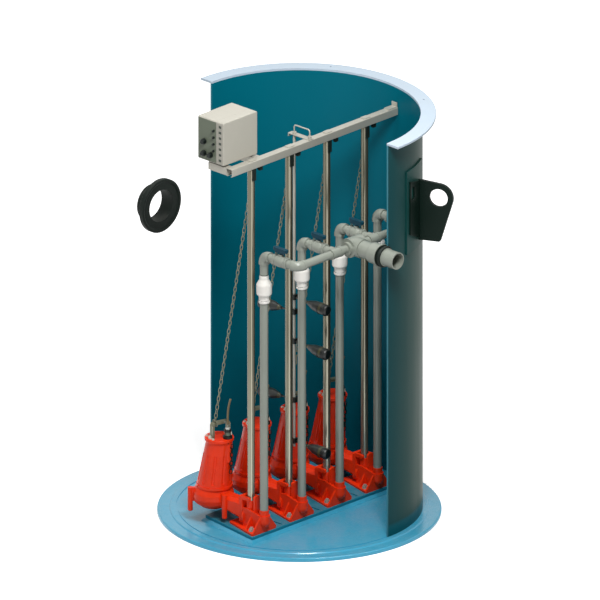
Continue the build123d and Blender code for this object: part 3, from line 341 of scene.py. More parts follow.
effects = {
    "blotch": makeBlotch(effectLook), "wear": makeWear(effectLook), "drawn": makeDrawn(effectLook),
    "dust": makeSettled(effectLook), "nearAxis": makeNearAxis(),
}


def place(tree, effect, values):
    node = tree.nodes.new("ShaderNodeGroup")
    node.node_tree = effects[effect]
    for label, value in values.items():
        node.inputs[label].default_value = value
    return node


def layOn(tree, under, socket, layers):
    # shared effects over a colour, one after another
    for effect, values in layers:
        layer = place(tree, effect, values)
        link(tree, under, socket, layer, "Colour")
        under, socket = layer, "Colour"
    return under


def overlay(tree, under, underSocket, mask, colour):
    # one plain colour over another through a mask
    mix = mixColour(tree, b=colour)
    link(tree, mask, 0, mix, "Factor")
    link(tree, under, underSocket, mix, "A")
    return mix


def newFinish(name, constants):
    finish = bpy.data.materials.new(name)
    finish.use_nodes = True
    tree = finish.node_tree
    shader = tree.nodes["Principled BSDF"]
    for label, value in constants.items():
        shader.inputs[label].default_value = value
    return finish, tree, shader


noiseMiddle = (0.25, 0.75)                  # noise values between which a roughness changes
grainNoise = (3.0, 0.6)                     # detail and roughness of a skin's fine texture


def surfaceFrom(tree, shader, node, socket, p):
    # roughness and relief from one value
    spread = rangeNode(tree, *noiseMiddle, *p["rough"])
    link(tree, node, socket, spread, "Value")
    link(tree, spread, 0, shader, "Roughness")
    bump = tree.nodes.new("ShaderNodeBump")
    bump.inputs["Strength"].default_value = p["bump"]
    bump.inputs["Distance"].default_value = p["bumpHeight"]
    link(tree, node, socket, bump, "Height")
    link(tree, bump, "Normal", shader, "Normal")


def addGrain(tree, shader, p):
    where = tree.nodes.new("ShaderNodeTexCoord")
    grain = noiseNode(tree, *grainNoise, scale=p["grainScale"])
    link(tree, where, "Object", grain, "Vector")
    surfaceFrom(tree, shader, grain, "Fac", p)


def mouldedFinish(name, look):
    # one moulded or sprayed skin: slow colour change, scuffs, dust, fine texture
    finish, tree, shader = newFinish(name, look["shader"])
    blotch = place(tree, "blotch", {
        "Colour": look["colour"], "Scale": look["blotchScale"], "Depth": look["blotch"]})
    worn = {"Worn Colour": look["wornColour"], "Scale": look["wearScale"], "Amount": look["wear"]}
    skin = layOn(tree, blotch, "Colour", (("wear", worn), ("dust", {"Amount": look["dust"]})))
    link(tree, skin, "Colour", shader, "Base Color")
    addGrain(tree, shader, look)
    return finish


def moulded(colour, worn, rough, **changes):
    look = {
        "colour": colour, "wornColour": worn, "rough": rough, "blotch": 0.06, "blotchScale": 5.0,
        "wear": 0.15, "wearScale": 40.0, "dust": 0.12, "grainScale": 900.0, "bump": 0.15,
        "bumpHeight": 0.0006, "shader": {},
    }
    look.update(changes)
    return look


def metalFinish(name, look):
    # bare metal with drawn lines along one axis and a few dull patches
    finish, tree, shader = newFinish(name, look["shader"])
    blotch = place(tree, "blotch", {
        "Colour": look["colour"], "Scale": look["blotchScale"], "Depth": look["blotch"]})
    dull = {"Worn Colour": look["dullColour"], "Scale": look["wearScale"], "Amount": look["wear"]}
    skin = layOn(tree, blotch, "Colour", (("wear", dull),))
    link(tree, skin, "Colour", shader, "Base Color")
    lines = place(tree, "drawn", {"Stretch": look["stretch"], "Scale": look["lineScale"]})
    surfaceFrom(tree, shader, lines, "Value", look)
    return finish


def metal(colour, dull, rough, stretch, metallic):
    return {
        "colour": colour, "dullColour": dull, "rough": rough, "stretch": stretch, "lineScale": 500.0,
        "blotch": 0.05, "blotchScale": 8.0, "wear": 0.2, "wearScale": 25.0, "bump": 0.12,
        "bumpHeight": 0.0003, "shader": {"Metallic": metallic},
    }


alongX, alongY, alongZ = (0.02, 1, 1), (1, 0.02, 1), (1, 1, 0.02)

quiet = {"Specular IOR Level": 0.14}        # skins that barely mirror the room
mouldedLooks = {
    "basin_blue": moulded(
        tint(62, 166, 200), tint(52, 140, 170), (0.18, 0.36), blotch=0.03, blotchScale=2.2, bump=0.08,
        shader={"Coat Weight": 0.22, "Coat Roughness": 0.06, "Specular IOR Level": 0.34}),
    "flange_pale": moulded(
        tint(175, 190, 203), tint(148, 165, 182), (0.36, 0.54), blotch=0.02, wear=0.1,
        shader={"Specular IOR Level": 0.3}),
    "black_steel": moulded(
        tint(4, 22, 16), tint(30, 44, 36), (0.34, 0.5), wear=0.12, dust=0.02, bump=0.2, shader=quiet),
    "black_rubber": moulded(
        tint(22, 30, 26), tint(50, 56, 52), (0.42, 0.62), wear=0.2, dust=0.06, grainScale=600.0,
        shader=quiet),
    "black_plastic": moulded(
        tint(15, 22, 20), tint(46, 52, 48), (0.3, 0.48), dust=0.05, shader={"Specular IOR Level": 0.25}),
    "pvc_grey": moulded(
        tint(136, 141, 131), tint(100, 104, 95), (0.14, 0.28), wear=0.22,
        shader={"Specular IOR Level": 0.42}),
    "pvc_white": moulded(
        tint(230, 227, 220), tint(198, 196, 188), (0.25, 0.4), blotch=0.03, wear=0.14, dust=0.05),
    "pump_red": moulded(
        tint(236, 55, 18), tint(146, 26, 12), (0.14, 0.28), blotch=0.08, blotchScale=14.0,
        wear=0.26, wearScale=55.0, dust=0.0, grainScale=260.0, bump=0.35, bumpHeight=0.0014,
        shader={"Coat Weight": 0.06, "Coat Roughness": 0.08, "Specular IOR Level": 0.11}),
    "cable_rubber": moulded(tint(104, 90, 60), tint(70, 60, 42), (0.45, 0.6), dust=0.0),
    "lever_blue": moulded(
        tint(2, 54, 70), tint(2, 38, 50), (0.28, 0.42), wear=0.25, dust=0.03, shader=quiet),
    "terminal_grey": moulded(
        tint(74, 82, 74), tint(52, 58, 52), (0.35, 0.5), dust=0.05, shader={"Specular IOR Level": 0.3}),
    "plateBlue": moulded(
        tint(24, 122, 146), tint(14, 96, 118), (0.26, 0.42), blotch=0.04, wear=0.2, shader=quiet),
}
metalLooks = {
    "stainless": metal(tint(172, 169, 158), tint(136, 133, 122), (0.32, 0.46), alongY, 0.35),
    "chain_steel": metal(tint(122, 122, 104), tint(78, 78, 62), (0.3, 0.44), alongZ, 0.8),
    "rotor_steel": metal(tint(150, 150, 148), tint(100, 100, 98), (0.25, 0.4), alongX, 1.0),
}
finishes = {name: mouldedFinish(name, look) for name, look in mouldedLooks.items()}
finishes.update({name: metalFinish(name, look) for name, look in metalLooks.items()})


shellPaint = {
    "inside": tint(0, 96, 113),
    "outside": tint(8, 64, 68),             # by the cut edge, where the painted reflection starts
    "outsideFarReflection": tint(32, 66, 54),         # olive-grey further round, a painted reflection
    "grade": (0.02, 0.34),                  # distances back from the cut over which the painted reflection changes
    "foot": tint(0, 84, 94),                # darker teal band round the outside of the foot, a painted reflection of the base
    "footBand": (0.074, 0.092),             # heights between which that painted reflection band fades out
    "cut": tint(64, 124, 138),              # bare edge of the cut wall
    "cutDepth": 0.0005,                     # faces nearer the cut plane than this are that edge
    "middle": 0.6146,                       # metres from the axis to the middle of the wall
    "layers": (("blotch", {"Scale": 1.6, "Depth": 0.05}),
               ("wear", {"Worn Colour": tint(48, 100, 106), "Scale": 22.0, "Amount": 0.04})),
    "ripple": {"Stretch": (1, 1, 0.12), "Scale": 9.0},
    "rough": (0.34, 0.48), "bump": 0.12, "bumpHeight": 0.004,
    "shader": {"Specular IOR Level": 0.07},
}


def addShellFinish(p):
    # teal gel coat within; without, teal by the cut turning olive-grey further round, a painted
    # reflection; and the bare edge of the cut
    finish, tree, shader = newFinish("basin_teal", p["shader"])
    where = tree.nodes.new("ShaderNodeTexCoord")
    parts = objectParts(tree)
    flat = vectorNode(tree, "MULTIPLY", (1, 1, 0))
    link(tree, where, "Object", flat, 0)
    reach = vectorNode(tree, "LENGTH")
    link(tree, flat, 0, reach, 0)
    outer = mathNode(tree, "GREATER_THAN", b=p["middle"])
    link(tree, reach, "Value", outer, 0)
    # painted reflection: the outside goes from teal by the cut to olive-grey further round
    further = rangeNode(tree, *p["grade"])
    link(tree, parts, "Y", further, "Value")
    skin = mixColour(tree, p["outside"], p["outsideFarReflection"])
    link(tree, further, 0, skin, "Factor")
    # painted reflection of the base: a darker teal band round the outside of the foot
    low = rangeNode(tree, *p["footBand"], 1.0, 0.0)
    link(tree, parts, "Z", low, "Value")
    banded = overlay(tree, skin, "Result", low, p["foot"])
    pick = mixColour(tree, p["inside"])
    link(tree, banded, "Result", pick, "B")
    link(tree, outer, 0, pick, "Factor")
    edge = mathNode(tree, "LESS_THAN", b=p["cutDepth"])
    link(tree, parts, "Y", edge, 0)
    cut = overlay(tree, pick, "Result", edge, p["cut"])
    link(tree, layOn(tree, cut, "Result", p["layers"]), "Colour", shader, "Base Color")
    ripple = place(tree, "drawn", p["ripple"])
    surfaceFrom(tree, shader, ripple, "Value", p)
    return finish


finishes["basin_teal"] = addShellFinish(shellPaint)


pumpTopPaint = {
    "bail": tint(112, 112, 90),
    "bolts": tint(206, 200, 186),
    # X from the basin's axis, Y from the pump's own middle, and how far round that the part reaches
    "glandAxis": {"Axis X": -0.090, "Axis Y": 0.012, "Reach": 0.0265},
    "bailAxis": {"Axis X": -0.133, "Axis Y": 0.0021, "Reach": 0.0535},
    "glandHeights": (0.485, 0.559),
    # share of the gland's height where each colour starts
    "bands": ((0.0, tint(16, 22, 19)), (0.22, tint(88, 100, 86)), (0.468, tint(18, 24, 21)),
              (0.66, tint(186, 188, 180)), (0.79, tint(118, 120, 108))),
    "layers": (("wear", {"Worn Colour": tint(70, 72, 58), "Scale": 70.0, "Amount": 0.3}),),
    "grainScale": 500.0, "rough": (0.3, 0.5), "bump": 0.15, "bumpHeight": 0.0005,
    "shader": {"Metallic": 0.35, "Specular IOR Level": 0.4},
}


def addPumpTopFinish(p):
    # one finish for the bail, its bolts and the gland, told apart by where they stand
    finish, tree, shader = newFinish("pump_hardware", p["shader"])
    parts = objectParts(tree)
    height = rangeNode(tree, *p["glandHeights"])
    link(tree, parts, "Z", height, "Value")
    bands = rampNode(tree, p["bands"], "CONSTANT")
    link(tree, height, 0, bands, "Fac")
    nearBail = place(tree, "nearAxis", p["bailAxis"])
    nearGland = place(tree, "nearAxis", p["glandAxis"])
    steel = mixColour(tree, p["bolts"], p["bail"])
    link(tree, nearBail, "Mask", steel, "Factor")
    whole = mixColour(tree)
    link(tree, nearGland, "Mask", whole, "Factor")
    link(tree, steel, "Result", whole, "A")
    link(tree, bands, "Color", whole, "B")
    link(tree, layOn(tree, whole, "Result", p["layers"]), "Colour", shader, "Base Color")
    addGrain(tree, shader, p)
    return finish


finishes["pump_hardware"] = addPumpTopFinish(pumpTopPaint)


railPaint = {
    "high": tint(74, 69, 44), "low": tint(142, 140, 122),
    "grade": (0.35, 1.05),                  # heights over which the painted reflection goes from the pale low tone to the dark olive high tone
    "shine": (0.7193, 0.6947, 0.0),         # level direction that the painted reflection streaks are set out along
    # painted reflection streaks down the tube: share across it, and how light each is
    "reflectionStreaks": ((0.0, 0.34), (0.28, 0.46), (0.42, 0.20), (0.52, 0.92), (0.64, 0.86), (0.76, 0.26),
                (1.0, 0.2)),
    "dark": tint(40, 42, 28), "light": tint(218, 213, 194),
    "reflectionAmount": 0.42,
    "layers": (("wear", {"Worn Colour": tint(64, 60, 44), "Scale": 30.0, "Amount": 0.15}),),
    "lines": {"Stretch": alongZ, "Scale": 500.0},
    "rough": (0.12, 0.24), "bump": 0.1, "bumpHeight": 0.0003,
    "shader": {"Metallic": 0.62, "Specular IOR Level": 0.4},
}


def addRailFinish(p):
    # drawn bright tube with painted reflections: paler low down, and light and dark streaks by which way
    # its face turns
    finish, tree, shader = newFinish("rail_steel", p["shader"])
    where = tree.nodes.new("ShaderNodeTexCoord")
    parts = objectParts(tree)
    # painted reflection: paler low on the tube, dark olive higher up
    height = rangeNode(tree, *p["grade"])
    link(tree, parts, "Z", height, "Value")
    grade = mixColour(tree, p["low"], p["high"])
    link(tree, height, 0, grade, "Factor")
    # painted reflection: light and dark streaks by which way the tube's face turns
    across = vectorNode(tree, "DOT_PRODUCT", p["shine"])
    link(tree, where, "Normal", across, 0)
    share = rangeNode(tree, -1.0, 1.0)
    link(tree, across, "Value", share, "Value")
    reflectionStreaks = rampNode(tree, [(at, (level, level, level, 1)) for at, level in p["reflectionStreaks"]], "LINEAR")
    link(tree, share, 0, reflectionStreaks, "Fac")
    tone = mixColour(tree, p["dark"], p["light"])
    link(tree, reflectionStreaks, "Color", tone, "Factor")
    streaked = mixColour(tree)
    streaked.inputs["Factor"].default_value = p["reflectionAmount"]
    link(tree, grade, "Result", streaked, "A")
    link(tree, tone, "Result", streaked, "B")
    link(tree, layOn(tree, streaked, "Result", p["layers"]), "Colour", shader, "Base Color")
    lines = place(tree, "drawn", p["lines"])
    surfaceFrom(tree, shader, lines, "Value", p)
    return finish


finishes["rail_steel"] = addRailFinish(railPaint)


boxPaint = {
    "skin": {"Colour": tint(168, 165, 154), "Depth": 0.04},
    "wear": (("wear", {"Worn Colour": tint(140, 137, 127), "Amount": 0.14}),),
    "shadedEnd": tint(104, 112, 96),            # painted shade on the end the cables enter, behind the lid
    "end": -0.6136,                         # just inside that end's face, along Y
    "split": 0.0131,                        # where the lid meets the box, along X
    "dust": (("dust", {"Amount": 0.05}),),
    "grainScale": 900.0, "rough": (0.34, 0.5), "bump": 0.15, "bumpHeight": 0.0006,
    "shader": {"Specular IOR Level": 0.3},
}


def addBoxFinish(p):
    # beige moulding, its cable end darkened with painted shade
    finish, tree, shader = newFinish("box_beige", p["shader"])
    parts = objectParts(tree)
    # painted shade: the outer end face behind the lid is drawn darker green-grey
    outer = mathNode(tree, "LESS_THAN", b=p["end"])
    link(tree, parts, "Y", outer, 0)
    behind = mathNode(tree, "LESS_THAN", b=p["split"])
    link(tree, parts, "X", behind, 0)
    shadedEnd = mathNode(tree, "MULTIPLY")
    link(tree, outer, 0, shadedEnd, 0)
    link(tree, behind, 0, shadedEnd, 1)
    skin = layOn(tree, place(tree, "blotch", p["skin"]), "Colour", p["wear"])
    ended = overlay(tree, skin, "Colour", shadedEnd, p["shadedEnd"])
    link(tree, layOn(tree, ended, "Result", p["dust"]), "Colour", shader, "Base Color")
    addGrain(tree, shader, p)
    return finish


finishes["box_beige"] = addBoxFinish(boxPaint)


floatPaint = {
    "rodX": -0.010,                         # the float rod, along X
    "reach": 0.235,                         # from the rod to a float's outer end
    # share of that reach where each colour starts
    "bands": ((0.0, tint(14, 20, 15)), (0.40, tint(64, 62, 36)), (0.46, tint(14, 20, 15)),
              (0.80, tint(64, 62, 36)), (0.86, tint(9, 13, 12))),
    "layers": (("blotch", {"Scale": 30.0, "Depth": 0.1}), ("dust", {"Amount": 0.12})),
    "grainScale": 700.0, "rough": (0.24, 0.42), "bump": 0.12, "bumpHeight": 0.0005,
    "shader": {"Specular IOR Level": 0.45},
}


def addFloatFinish(p):
    # black moulded float with olive rim lines, darkest at its outer end
    finish, tree, shader = newFinish("float_black", p["shader"])
    parts = objectParts(tree)
    off = mathNode(tree, "SUBTRACT", b=p["rodX"])
    link(tree, parts, "X", off, 0)
    away = mathNode(tree, "ABSOLUTE")
    link(tree, off, 0, away, 0)
    share = mathNode(tree, "DIVIDE", b=p["reach"])
    link(tree, away, 0, share, 0)
    bands = rampNode(tree, p["bands"], "CONSTANT")
    link(tree, share, 0, bands, "Fac")
    link(tree, layOn(tree, bands, "Color", p["layers"]), "Colour", shader, "Base Color")
    addGrain(tree, shader, p)
    return finish


finishes["float_black"] = addFloatFinish(floatPaint)
print("finishes made:", len(finishes))


ownFinish = {"floor_plate": "plateBlue"}    # nodes whose finish isn't their slot's own


def finishNodes():
    for row in frame["record"]["subparts"]:
        piece = nodes[row["node"]]
        piece.data.materials.clear()
        piece.data.materials.append(finishes[ownFinish.get(row["node"], row["material_slot"])])


finishNodes()


powerCable = {
    "diameter": 0.011,
    "length": 0.140,
    "lean": (0.014, 0.006),                 # how far the stub leans over at its end, X and Y
    # points along the stub: height over its foot, and share of the lean
    "points": ((0.0, 0.0), (0.035, 0.0), (0.072, 0.10), (0.108, 0.45), (0.1375, 1.0)),
    "bevelSteps": 6,
}


def addPowerCable(k, c):
    low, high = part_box(f"power_cable_{k}")
    x, y = (low.x + high.x) / 2, (low.y + high.y) / 2
    leanX, leanY = c["lean"]
    route = [(x + leanX * share, y + leanY * share, low.z + rise) for rise, share in c["points"]]
    line = bpy.data.curves.new(f"powerCable{k}", "CURVE")
    line.dimensions = "3D"
    spline = line.splines.new("NURBS")
    spline.points.add(len(route) - 1)
    for point, at in zip(spline.points, route):
        point.co = (*at, 1)
    spline.order_u = 3
    spline.use_endpoint_u = True
    line.bevel_depth = c["diameter"] / 2
    line.bevel_resolution = c["bevelSteps"]
    line.use_fill_caps = True
    line.materials.append(finishes["cable_rubber"])
    piece = bpy.data.objects.new(f"powerCable{k}", line)
    bpy.context.scene.collection.objects.link(piece)
    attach(piece, f"pump_{k}")
    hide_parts(f"power_cable_{k}")


for k in stations:
    addPowerCable(k, powerCable)
print("power cables made")


def meshPiece(name, shape, finish, body, smooth=True):
    data = bpy.data.meshes.new(name)
    shape.to_mesh(data)
    shape.free()
    if smooth:
        for face in data.polygons:
            face.use_smooth = True
    data.materials.append(finishes[finish])
    piece = bpy.data.objects.new(name, data)
    bpy.context.scene.collection.objects.link(piece)
    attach(piece, body)
    return piece


def sweepLoop(shape, centres, sides, radius, seat):
    # closed tube through a closed run of points; the points lie in one plane, normal along local X
    rings = []
    count = len(centres)
    for i, centre in enumerate(centres):
        ahead = (centres[(i + 1) % count] - centres[i - 1]).normalized()
        side = Vector((1, 0, 0))
        up = ahead.cross(side)
        ring = []
        for s in range(sides):
            a = 2 * math.pi * s / sides
            point = centre + side * radius * math.cos(a) + up * radius * math.sin(a)
            ring.append(shape.verts.new(seat @ point))
        rings.append(ring)
    for i in range(count):
        ringA, ringB = rings[i], rings[(i + 1) % count]
        for s in range(sides):
            t = (s + 1) % sides
            shape.faces.new((ringA[s], ringA[t], ringB[t], ringB[s]))


def latheRing(shape, profile, segments, seat):
    # closed ring: a closed (radius, height) outline turned about the local Z axis
    rings = []
    for i in range(segments):
        a = 2 * math.pi * i / segments
        way = Vector((math.cos(a), math.sin(a), 0))
        rings.append([shape.verts.new(seat @ (way * r + Vector((0, 0, h)))) for r, h in profile])
    count = len(profile)
    for i in range(segments):
        near, far = rings[i], rings[(i + 1) % segments]
        for j in range(count):
            t = (j + 1) % count
            shape.faces.new((near[j], far[j], far[t], near[t]))


easedShare = {"band": 0.6, "bar": 0.45}     # edge easing, as a share of the smaller side
bandSunk = 0.001                            # how far a band's foot is under the surface it stands on


def bandOutline(radius, height, halfWidth):
    # cross-section of a band that stands a little proud, with eased edges
    ease = min(height, halfWidth) * easedShare["band"]
    return [
        (radius - bandSunk, -halfWidth), (radius + height - ease, -halfWidth),
        (radius + height, -halfWidth + ease), (radius + height, halfWidth - ease),
        (radius + height - ease, halfWidth), (radius - bandSunk, halfWidth),
    ]


def easedBar(shape, length, width, height, seat):
    # small bar with its long upper edges eased, lying along local X, its foot at local Z = 0
    l, w = length / 2, width / 2
    ease = min(w, height) * easedShare["bar"]
    outline = [
        (-w, 0), (w, 0), (w, height - ease),
        (w - ease, height), (-w + ease, height), (-w, height - ease),
    ]
    ends = []
    for x in (-l, l):
        ends.append([shape.verts.new(seat @ Vector((x, y, z))) for y, z in outline])
    count = len(outline)
    for j in range(count):
        t = (j + 1) % count
        shape.faces.new((ends[0][j], ends[0][t], ends[1][t], ends[1][j]))
    shape.faces.new(list(reversed(ends[0])))
    shape.faces.new(ends[1])


def stadium(halfLength, turnRadius, steps):
    # centreline of an oval link in the YZ plane, long way along Z
    points = []
    for side, start in ((1, 0.0), (-1, math.pi)):
        for i in range(steps + 1):
            a = start + math.pi * i / steps
            z = side * halfLength + turnRadius * math.sin(a)
            points.append(Vector((0, turnRadius * math.cos(a), z)))
    return points


def linkOval(run, count, c):
    # centreline of one link, for so many in line along a run
    turnRadius = (c["width"] - c["wire"]) / 2
    return stadium((run.length / count + c["wire"]) / 2 - turnRadius, turnRadius, c["steps"])


def addLink(shape, oval, spot, run, twist, c):
    aim = run.to_track_quat("Z", "X").to_matrix().to_4x4()
    turn = Matrix.Rotation(math.radians(twist), 4, "Z")
    sweepLoop(shape, oval, c["sides"], c["wire"] / 2, Matrix.Translation(spot) @ aim @ turn)


liftingChain = {
    "pitch": 0.0235,
    "wire": 0.0044,
    "width": 0.0180,
    "tube": 0.007,                          # radius of the plain tube that the links stand for
    "steps": 6,                             # points round each end of a link
    "sides": 8,
    "footGap": 0.001,                       # from the tube's foot up to the lowest link's
    "eyeTop": 0.010,                        # how far the top link rises into the hook's eye
    "sway": 8.0, "swayStep": 2.4,           # most degrees a link turns aside, and radians between links
    "hung": 2,                              # links that stay on the hook when the pump rises
    "lift": 1.2,                            # metres that a pump rises on its rail
}


def addChain(k, c):
    low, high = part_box(f"lifting_chain_{k}")
    tube = c["tube"]
    bottom = Vector((low.x + tube, low.y + tube, low.z + c["footGap"]))
    top = Vector((high.x - tube, high.y - tube, high.z + c["eyeTop"]))
    run = top - bottom
    count = round(run.length / c["pitch"])
    oval = linkOval(run, count, c)
    moving, hung = bmesh.new(), bmesh.new()
    for i in range(count):
        twist = 90 * (i % 2) + c["sway"] * math.sin(i * c["swayStep"])
        shape = moving if i < count - c["hung"] else hung
        addLink(shape, oval, bottom + run * ((i + 0.5) / count), run, twist, c)
    piece = meshPiece(f"chainLinks{k}", moving, "chain_steel", f"pump_{k}")
    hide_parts(f"lifting_chain_{k}")
    meshPiece(f"chainEnd{k}", hung, "chain_steel", "root")
    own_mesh(piece)
    return bottom


bailShackle = {
    "wire": 0.0045,
    "halfWidth": 0.0175,                    # inside the loop, across the bail
    "halfHeight": 0.0115,
    "corner": 0.006,
    "steps": 4,
    "sides": 8,
    "bailAngle": 75.0,                      # degrees from +X to the bail's long way
    "barMiddle": 0.562,                     # height of the middle of the bail's bar
}


def addShackle(k, foot, c):
    # wire loop round the bail's bar, which the chain's lowest link holds
    w = c["halfWidth"] + c["wire"] / 2
    h = c["halfHeight"] + c["wire"] / 2
    points = []
    for sideY, sideZ, start in ((1, 1, 0), (-1, 1, 90), (-1, -1, 180), (1, -1, 270)):
        for i in range(c["steps"] + 1):
            a = math.radians(start + 90 * i / c["steps"])
            points.append(Vector((
                0,
                sideY * (w - c["corner"]) + c["corner"] * math.cos(a),
                sideZ * (h - c["corner"]) + c["corner"] * math.sin(a))))
    at = Matrix.Translation((foot.x, foot.y, c["barMiddle"]))
    turn = Matrix.Rotation(math.radians(c["bailAngle"]), 4, "Z")
    shape = bmesh.new()
    sweepLoop(shape, points, c["sides"], c["wire"] / 2, at @ turn)
    meshPiece(f"bailShackle{k}", shape, "chain_steel", f"pump_{k}")


for k in stations:
    chainFoot = addChain(k, liftingChain)
    addShackle(k, chainFoot, bailShackle)
print("lifting chains made")


chainTail = {
    "angle": 8.0,                           # degrees from +X round to +Y
    "top": 0.458, "low": 0.300,             # heights of its two ends
    "rim": 0.074,                           # radius of the motor can's rim
    "reachTop": 0.0840, "reachLow": 0.0920, # from the can's leaning middle
    "twist": 25.0,                          # degrees that all its links turn aside
}


def addChainTail(k, c, links):
    # spare end of the lifting chain, hanging down the can, its links painted near-black as shade
    low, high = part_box(f"motor_housing_{k}")
    footX = low.x + (high.y - low.y) / 2
    rimX = high.x - c["rim"]
    y = (low.y + high.y) / 2
    a = math.radians(c["angle"])
    way = Vector((math.cos(a), math.sin(a), 0))
    ends = []
    for z, reach in ((c["top"], c["reachTop"]), (c["low"], c["reachLow"])):
        share = (z - low.z) / (high.z - low.z)
        ends.append(Vector((footX + (rimX - footX) * share, y, z)) + way * reach)
    run = ends[1] - ends[0]
    count = round(run.length / links["pitch"])
    oval = linkOval(run, count, links)
    shape = bmesh.new()
    for i in range(count):
        addLink(shape, oval, ends[0] + run * ((i + 0.5) / count), run, 90 * (i % 2) + c["twist"], links)
    # painted shade: the same chain as above, given the near-black finish where it hangs in shade
    meshPiece(f"chainTail{k}", shape, "black_steel", f"pump_{k}")


for k in stations:
    addChainTail(k, chainTail, liftingChain)
print("chain tails made")


unionRibs = {
    "count": 14,
    "nutRadius": 0.029,
    "nutMiddle": 0.0395,                    # from the valve's middle along X
    "length": 0.013,
    "width": 0.0026,
    "height": 0.0016,
    "sunk": 0.0006,                         # how far a rib's foot is inside the nut
}


def addUnionRibs(c):
    # grip ribs round both union nuts of each ball valve
    low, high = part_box("valve_bodies")
    x = (low.x + high.x) / 2
    z = middleOf("manifold").z
    shape = bmesh.new()
    for y in stationY:
        for side in (-1, 1):
            for i in range(c["count"]):
                a = 2 * math.pi * (i + 0.5) / c["count"]
                at = Matrix.Translation((x + side * c["nutMiddle"], y, z))
                turn = Matrix.Rotation(a, 4, "X")
                out = Matrix.Translation((0, 0, c["nutRadius"] - c["sunk"]))
                easedBar(shape, c["length"], c["width"], c["height"], at @ turn @ out)
    meshPiece("unionRibs", shape, "pvc_grey", "root", smooth=False)


addUnionRibs(unionRibs)
print("union ribs made")


lidPockets = {
    "count": 7, "pitch": 0.030,
    "middle": 0.0303,                       # from the hinge side to the pockets' middle, along X
    "width": 0.0185, "height": 0.0135, "depth": 0.0010,
    "setBack": 0.0021,                      # from the lid's side in to the back of each floor
}


def addLidPockets(c):
    # dark floors of the ladder of pockets on the lid's side
    low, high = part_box("box_lid")
    middleZ = (low.z + high.z) / 2
    shape = bmesh.new()
    outward = Matrix.Rotation(math.pi / 2, 4, "X")
    for i in range(c["count"]):
        z = middleZ + (i - (c["count"] - 1) / 2) * c["pitch"]
        at = Matrix.Translation((low.x + c["middle"], low.y + c["setBack"], z))
        easedBar(shape, c["width"], c["height"], c["depth"], at @ outward)
    meshPiece("lidPockets", shape, "terminal_grey", "box_lid", smooth=False)


addLidPockets(lidPockets)
print("lid pockets made")


jointRings = {
    "lineHeight": 0.0006, "lineHalfWidth": 0.0011,
    # height of each line, and radius of the surface under it
    "riserSteps": ((1.3045, 0.0265), (1.2895, 0.0213), (1.4415, 0.0213)),
    "segments": 40,
}


def addJointRings(c):
    # dark lines where the check valves' unions and sockets close on the risers
    x = middleOf("risers").x
    shape = bmesh.new()
    for y in stationY:
        for z, radius in c["riserSteps"]:
            at = Matrix.Translation((x, y, z))
            latheRing(shape, bandOutline(radius, c["lineHeight"], c["lineHalfWidth"]), c["segments"], at)
    meshPiece("jointRings", shape, "black_rubber", "root")


addJointRings(jointRings)
print("joint rings made")


floatRims = {
    "height": 0.0011,
    "halfWidth": 0.0020,
    "fromEnd": (0.016, 0.056),              # distances in from the float's outer end
    "segments": 40,
}


def addFloatRims(k, c):
    # raised rims round a float, square to its own leaning axis
    low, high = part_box(f"float_{k}")
    rodX = middleOf("float_clamps").x
    outward = 1 if high.x - rodX > rodX - low.x else -1
    y = (low.y + high.y) / 2
    radius = (high.y - low.y) / 2
    reach = high.x - rodX if outward > 0 else rodX - low.x
    fall = high.z - low.z - 2 * radius      # how far the axis drops over the float's reach
    axis = Vector((outward * reach, 0, -fall)).normalized()
    end = Vector((rodX + outward * reach, y, low.z + radius))
    lie = axis.to_track_quat("Z", "Y").to_matrix().to_4x4()
    shape = bmesh.new()
    for distance in c["fromEnd"]:
        at = Matrix.Translation(end - axis * distance)
        latheRing(shape, bandOutline(radius, c["height"], c["halfWidth"]), c["segments"], at @ lie)
    meshPiece(f"floatRims{k}", shape, "float_black", f"float_{k}")


for k in floats:
    addFloatRims(k, floatRims)
print("float rims made")


studio = {
    # name, azimuth, elevation, distance, size and power of each lamp
    "lamps": (("keyLamp", 54.0, 54.0, 5.0, 1.1, 185.0), ("topLamp", 40.0, 86.0, 5.0, 2.4, 122.0),
              ("fillLamp", -10.0, 30.0, 6.0, 3.0, 20.0)),
    "aim": (0.0, 0.0, 1.0),
    "worldStrength": 0.17,
    "worldColour": (0.97, 0.985, 1.0, 1),
    "floorSize": 30.0,
    "floorDrop": 0.0005,                    # how far the floor lies under the station
    "floorColour": (0.93, 0.93, 0.93, 1),
    "floorGlow": (0.62, 1.0),               # its glow on shown rays near the object, and far from it
    "floorFade": (1.2, 3.5),                # metres from the middle between which it changes
}


def addLamp(name, azimuth, elevation, distance, size, power, aim):
    lamp = bpy.data.lights.new(name, "AREA")
    lamp.shape = "SQUARE"
    lamp.size = size
    lamp.energy = power
    held = bpy.data.objects.new(name, lamp)
    bpy.context.scene.collection.objects.link(held)
    way = wayTo(azimuth, elevation)
    held.location = Vector(aim) + way * distance
    held.rotation_mode = "QUATERNION"
    held.rotation_quaternion = (-way).to_track_quat("-Z", "Y")


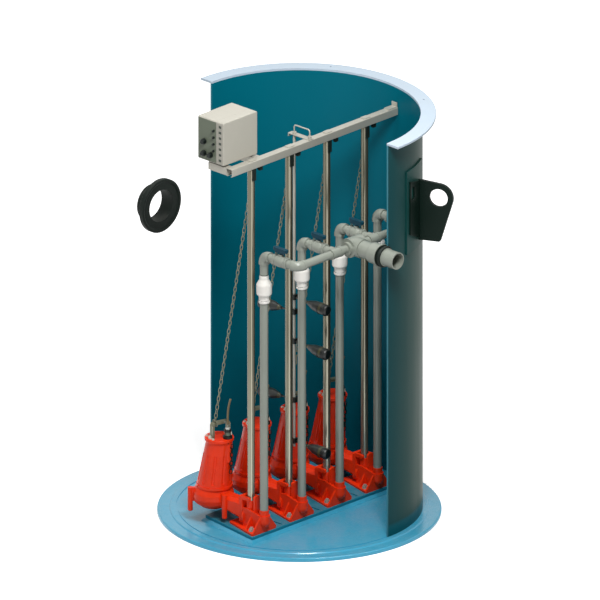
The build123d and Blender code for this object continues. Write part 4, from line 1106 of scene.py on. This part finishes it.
def shownRays(tree):
    # 1 on the rays that show the backdrop: seen straight, in a reflection, or through glass
    rays = tree.nodes.new("ShaderNodeLightPath")
    first = mathNode(tree, "MAXIMUM")
    link(tree, rays, "Is Camera Ray", first, 0)
    link(tree, rays, "Is Glossy Ray", first, 1)
    both = mathNode(tree, "MAXIMUM")
    link(tree, first, 0, both, 0)
    link(tree, rays, "Is Transmission Ray", both, 1)
    return both


def addStudio(s):
    for lamp in s["lamps"]:
        addLamp(*lamp, s["aim"])
    world = bpy.context.scene.world or bpy.data.worlds.new("studioWorld")
    bpy.context.scene.world = world
    world.use_nodes = True
    tree = world.node_tree
    tree.nodes.clear()
    sky = tree.nodes.new("ShaderNodeBackground")
    sky.inputs["Color"].default_value = s["worldColour"]
    sky.inputs["Strength"].default_value = s["worldStrength"]
    white = tree.nodes.new("ShaderNodeBackground")
    white.inputs["Color"].default_value = (1, 1, 1, 1)
    white.inputs["Strength"].default_value = 1.0
    shown = shownRays(tree)
    mix = tree.nodes.new("ShaderNodeMixShader")
    link(tree, shown, 0, mix, 0)
    tree.links.new(sky.outputs[0], mix.inputs[1])
    tree.links.new(white.outputs[0], mix.inputs[2])
    end = tree.nodes.new("ShaderNodeOutputWorld")
    link(tree, mix, 0, end, "Surface")


def addFloor(s):
    shape = bmesh.new()
    half = s["floorSize"] / 2
    corners = ((-half, -half), (half, -half), (half, half), (-half, half))
    shape.faces.new([shape.verts.new((x, y, -s["floorDrop"])) for x, y in corners])
    data = bpy.data.meshes.new("studioFloor")
    shape.to_mesh(data)
    shape.free()
    finish, tree, shader = newFinish("studioFloor", {
        "Base Color": s["floorColour"], "Roughness": 0.8, "Emission Color": (1, 1, 1, 1)})
    where = tree.nodes.new("ShaderNodeTexCoord")
    reach = vectorNode(tree, "LENGTH")
    link(tree, where, "Object", reach, 0)
    glow = rangeNode(tree, *s["floorFade"], *s["floorGlow"])
    link(tree, reach, "Value", glow, "Value")
    lift = mathNode(tree, "MULTIPLY")
    link(tree, shownRays(tree), 0, lift, 0)
    link(tree, glow, 0, lift, 1)
    link(tree, lift, 0, shader, "Emission Strength")
    data.materials.append(finish)
    floor = bpy.data.objects.new("studioFloor", data)
    bpy.context.scene.collection.objects.link(floor)


addStudio(studio)
addFloor(studio)
bpy.context.scene.view_settings.view_transform = "Standard"
print("studio ready")
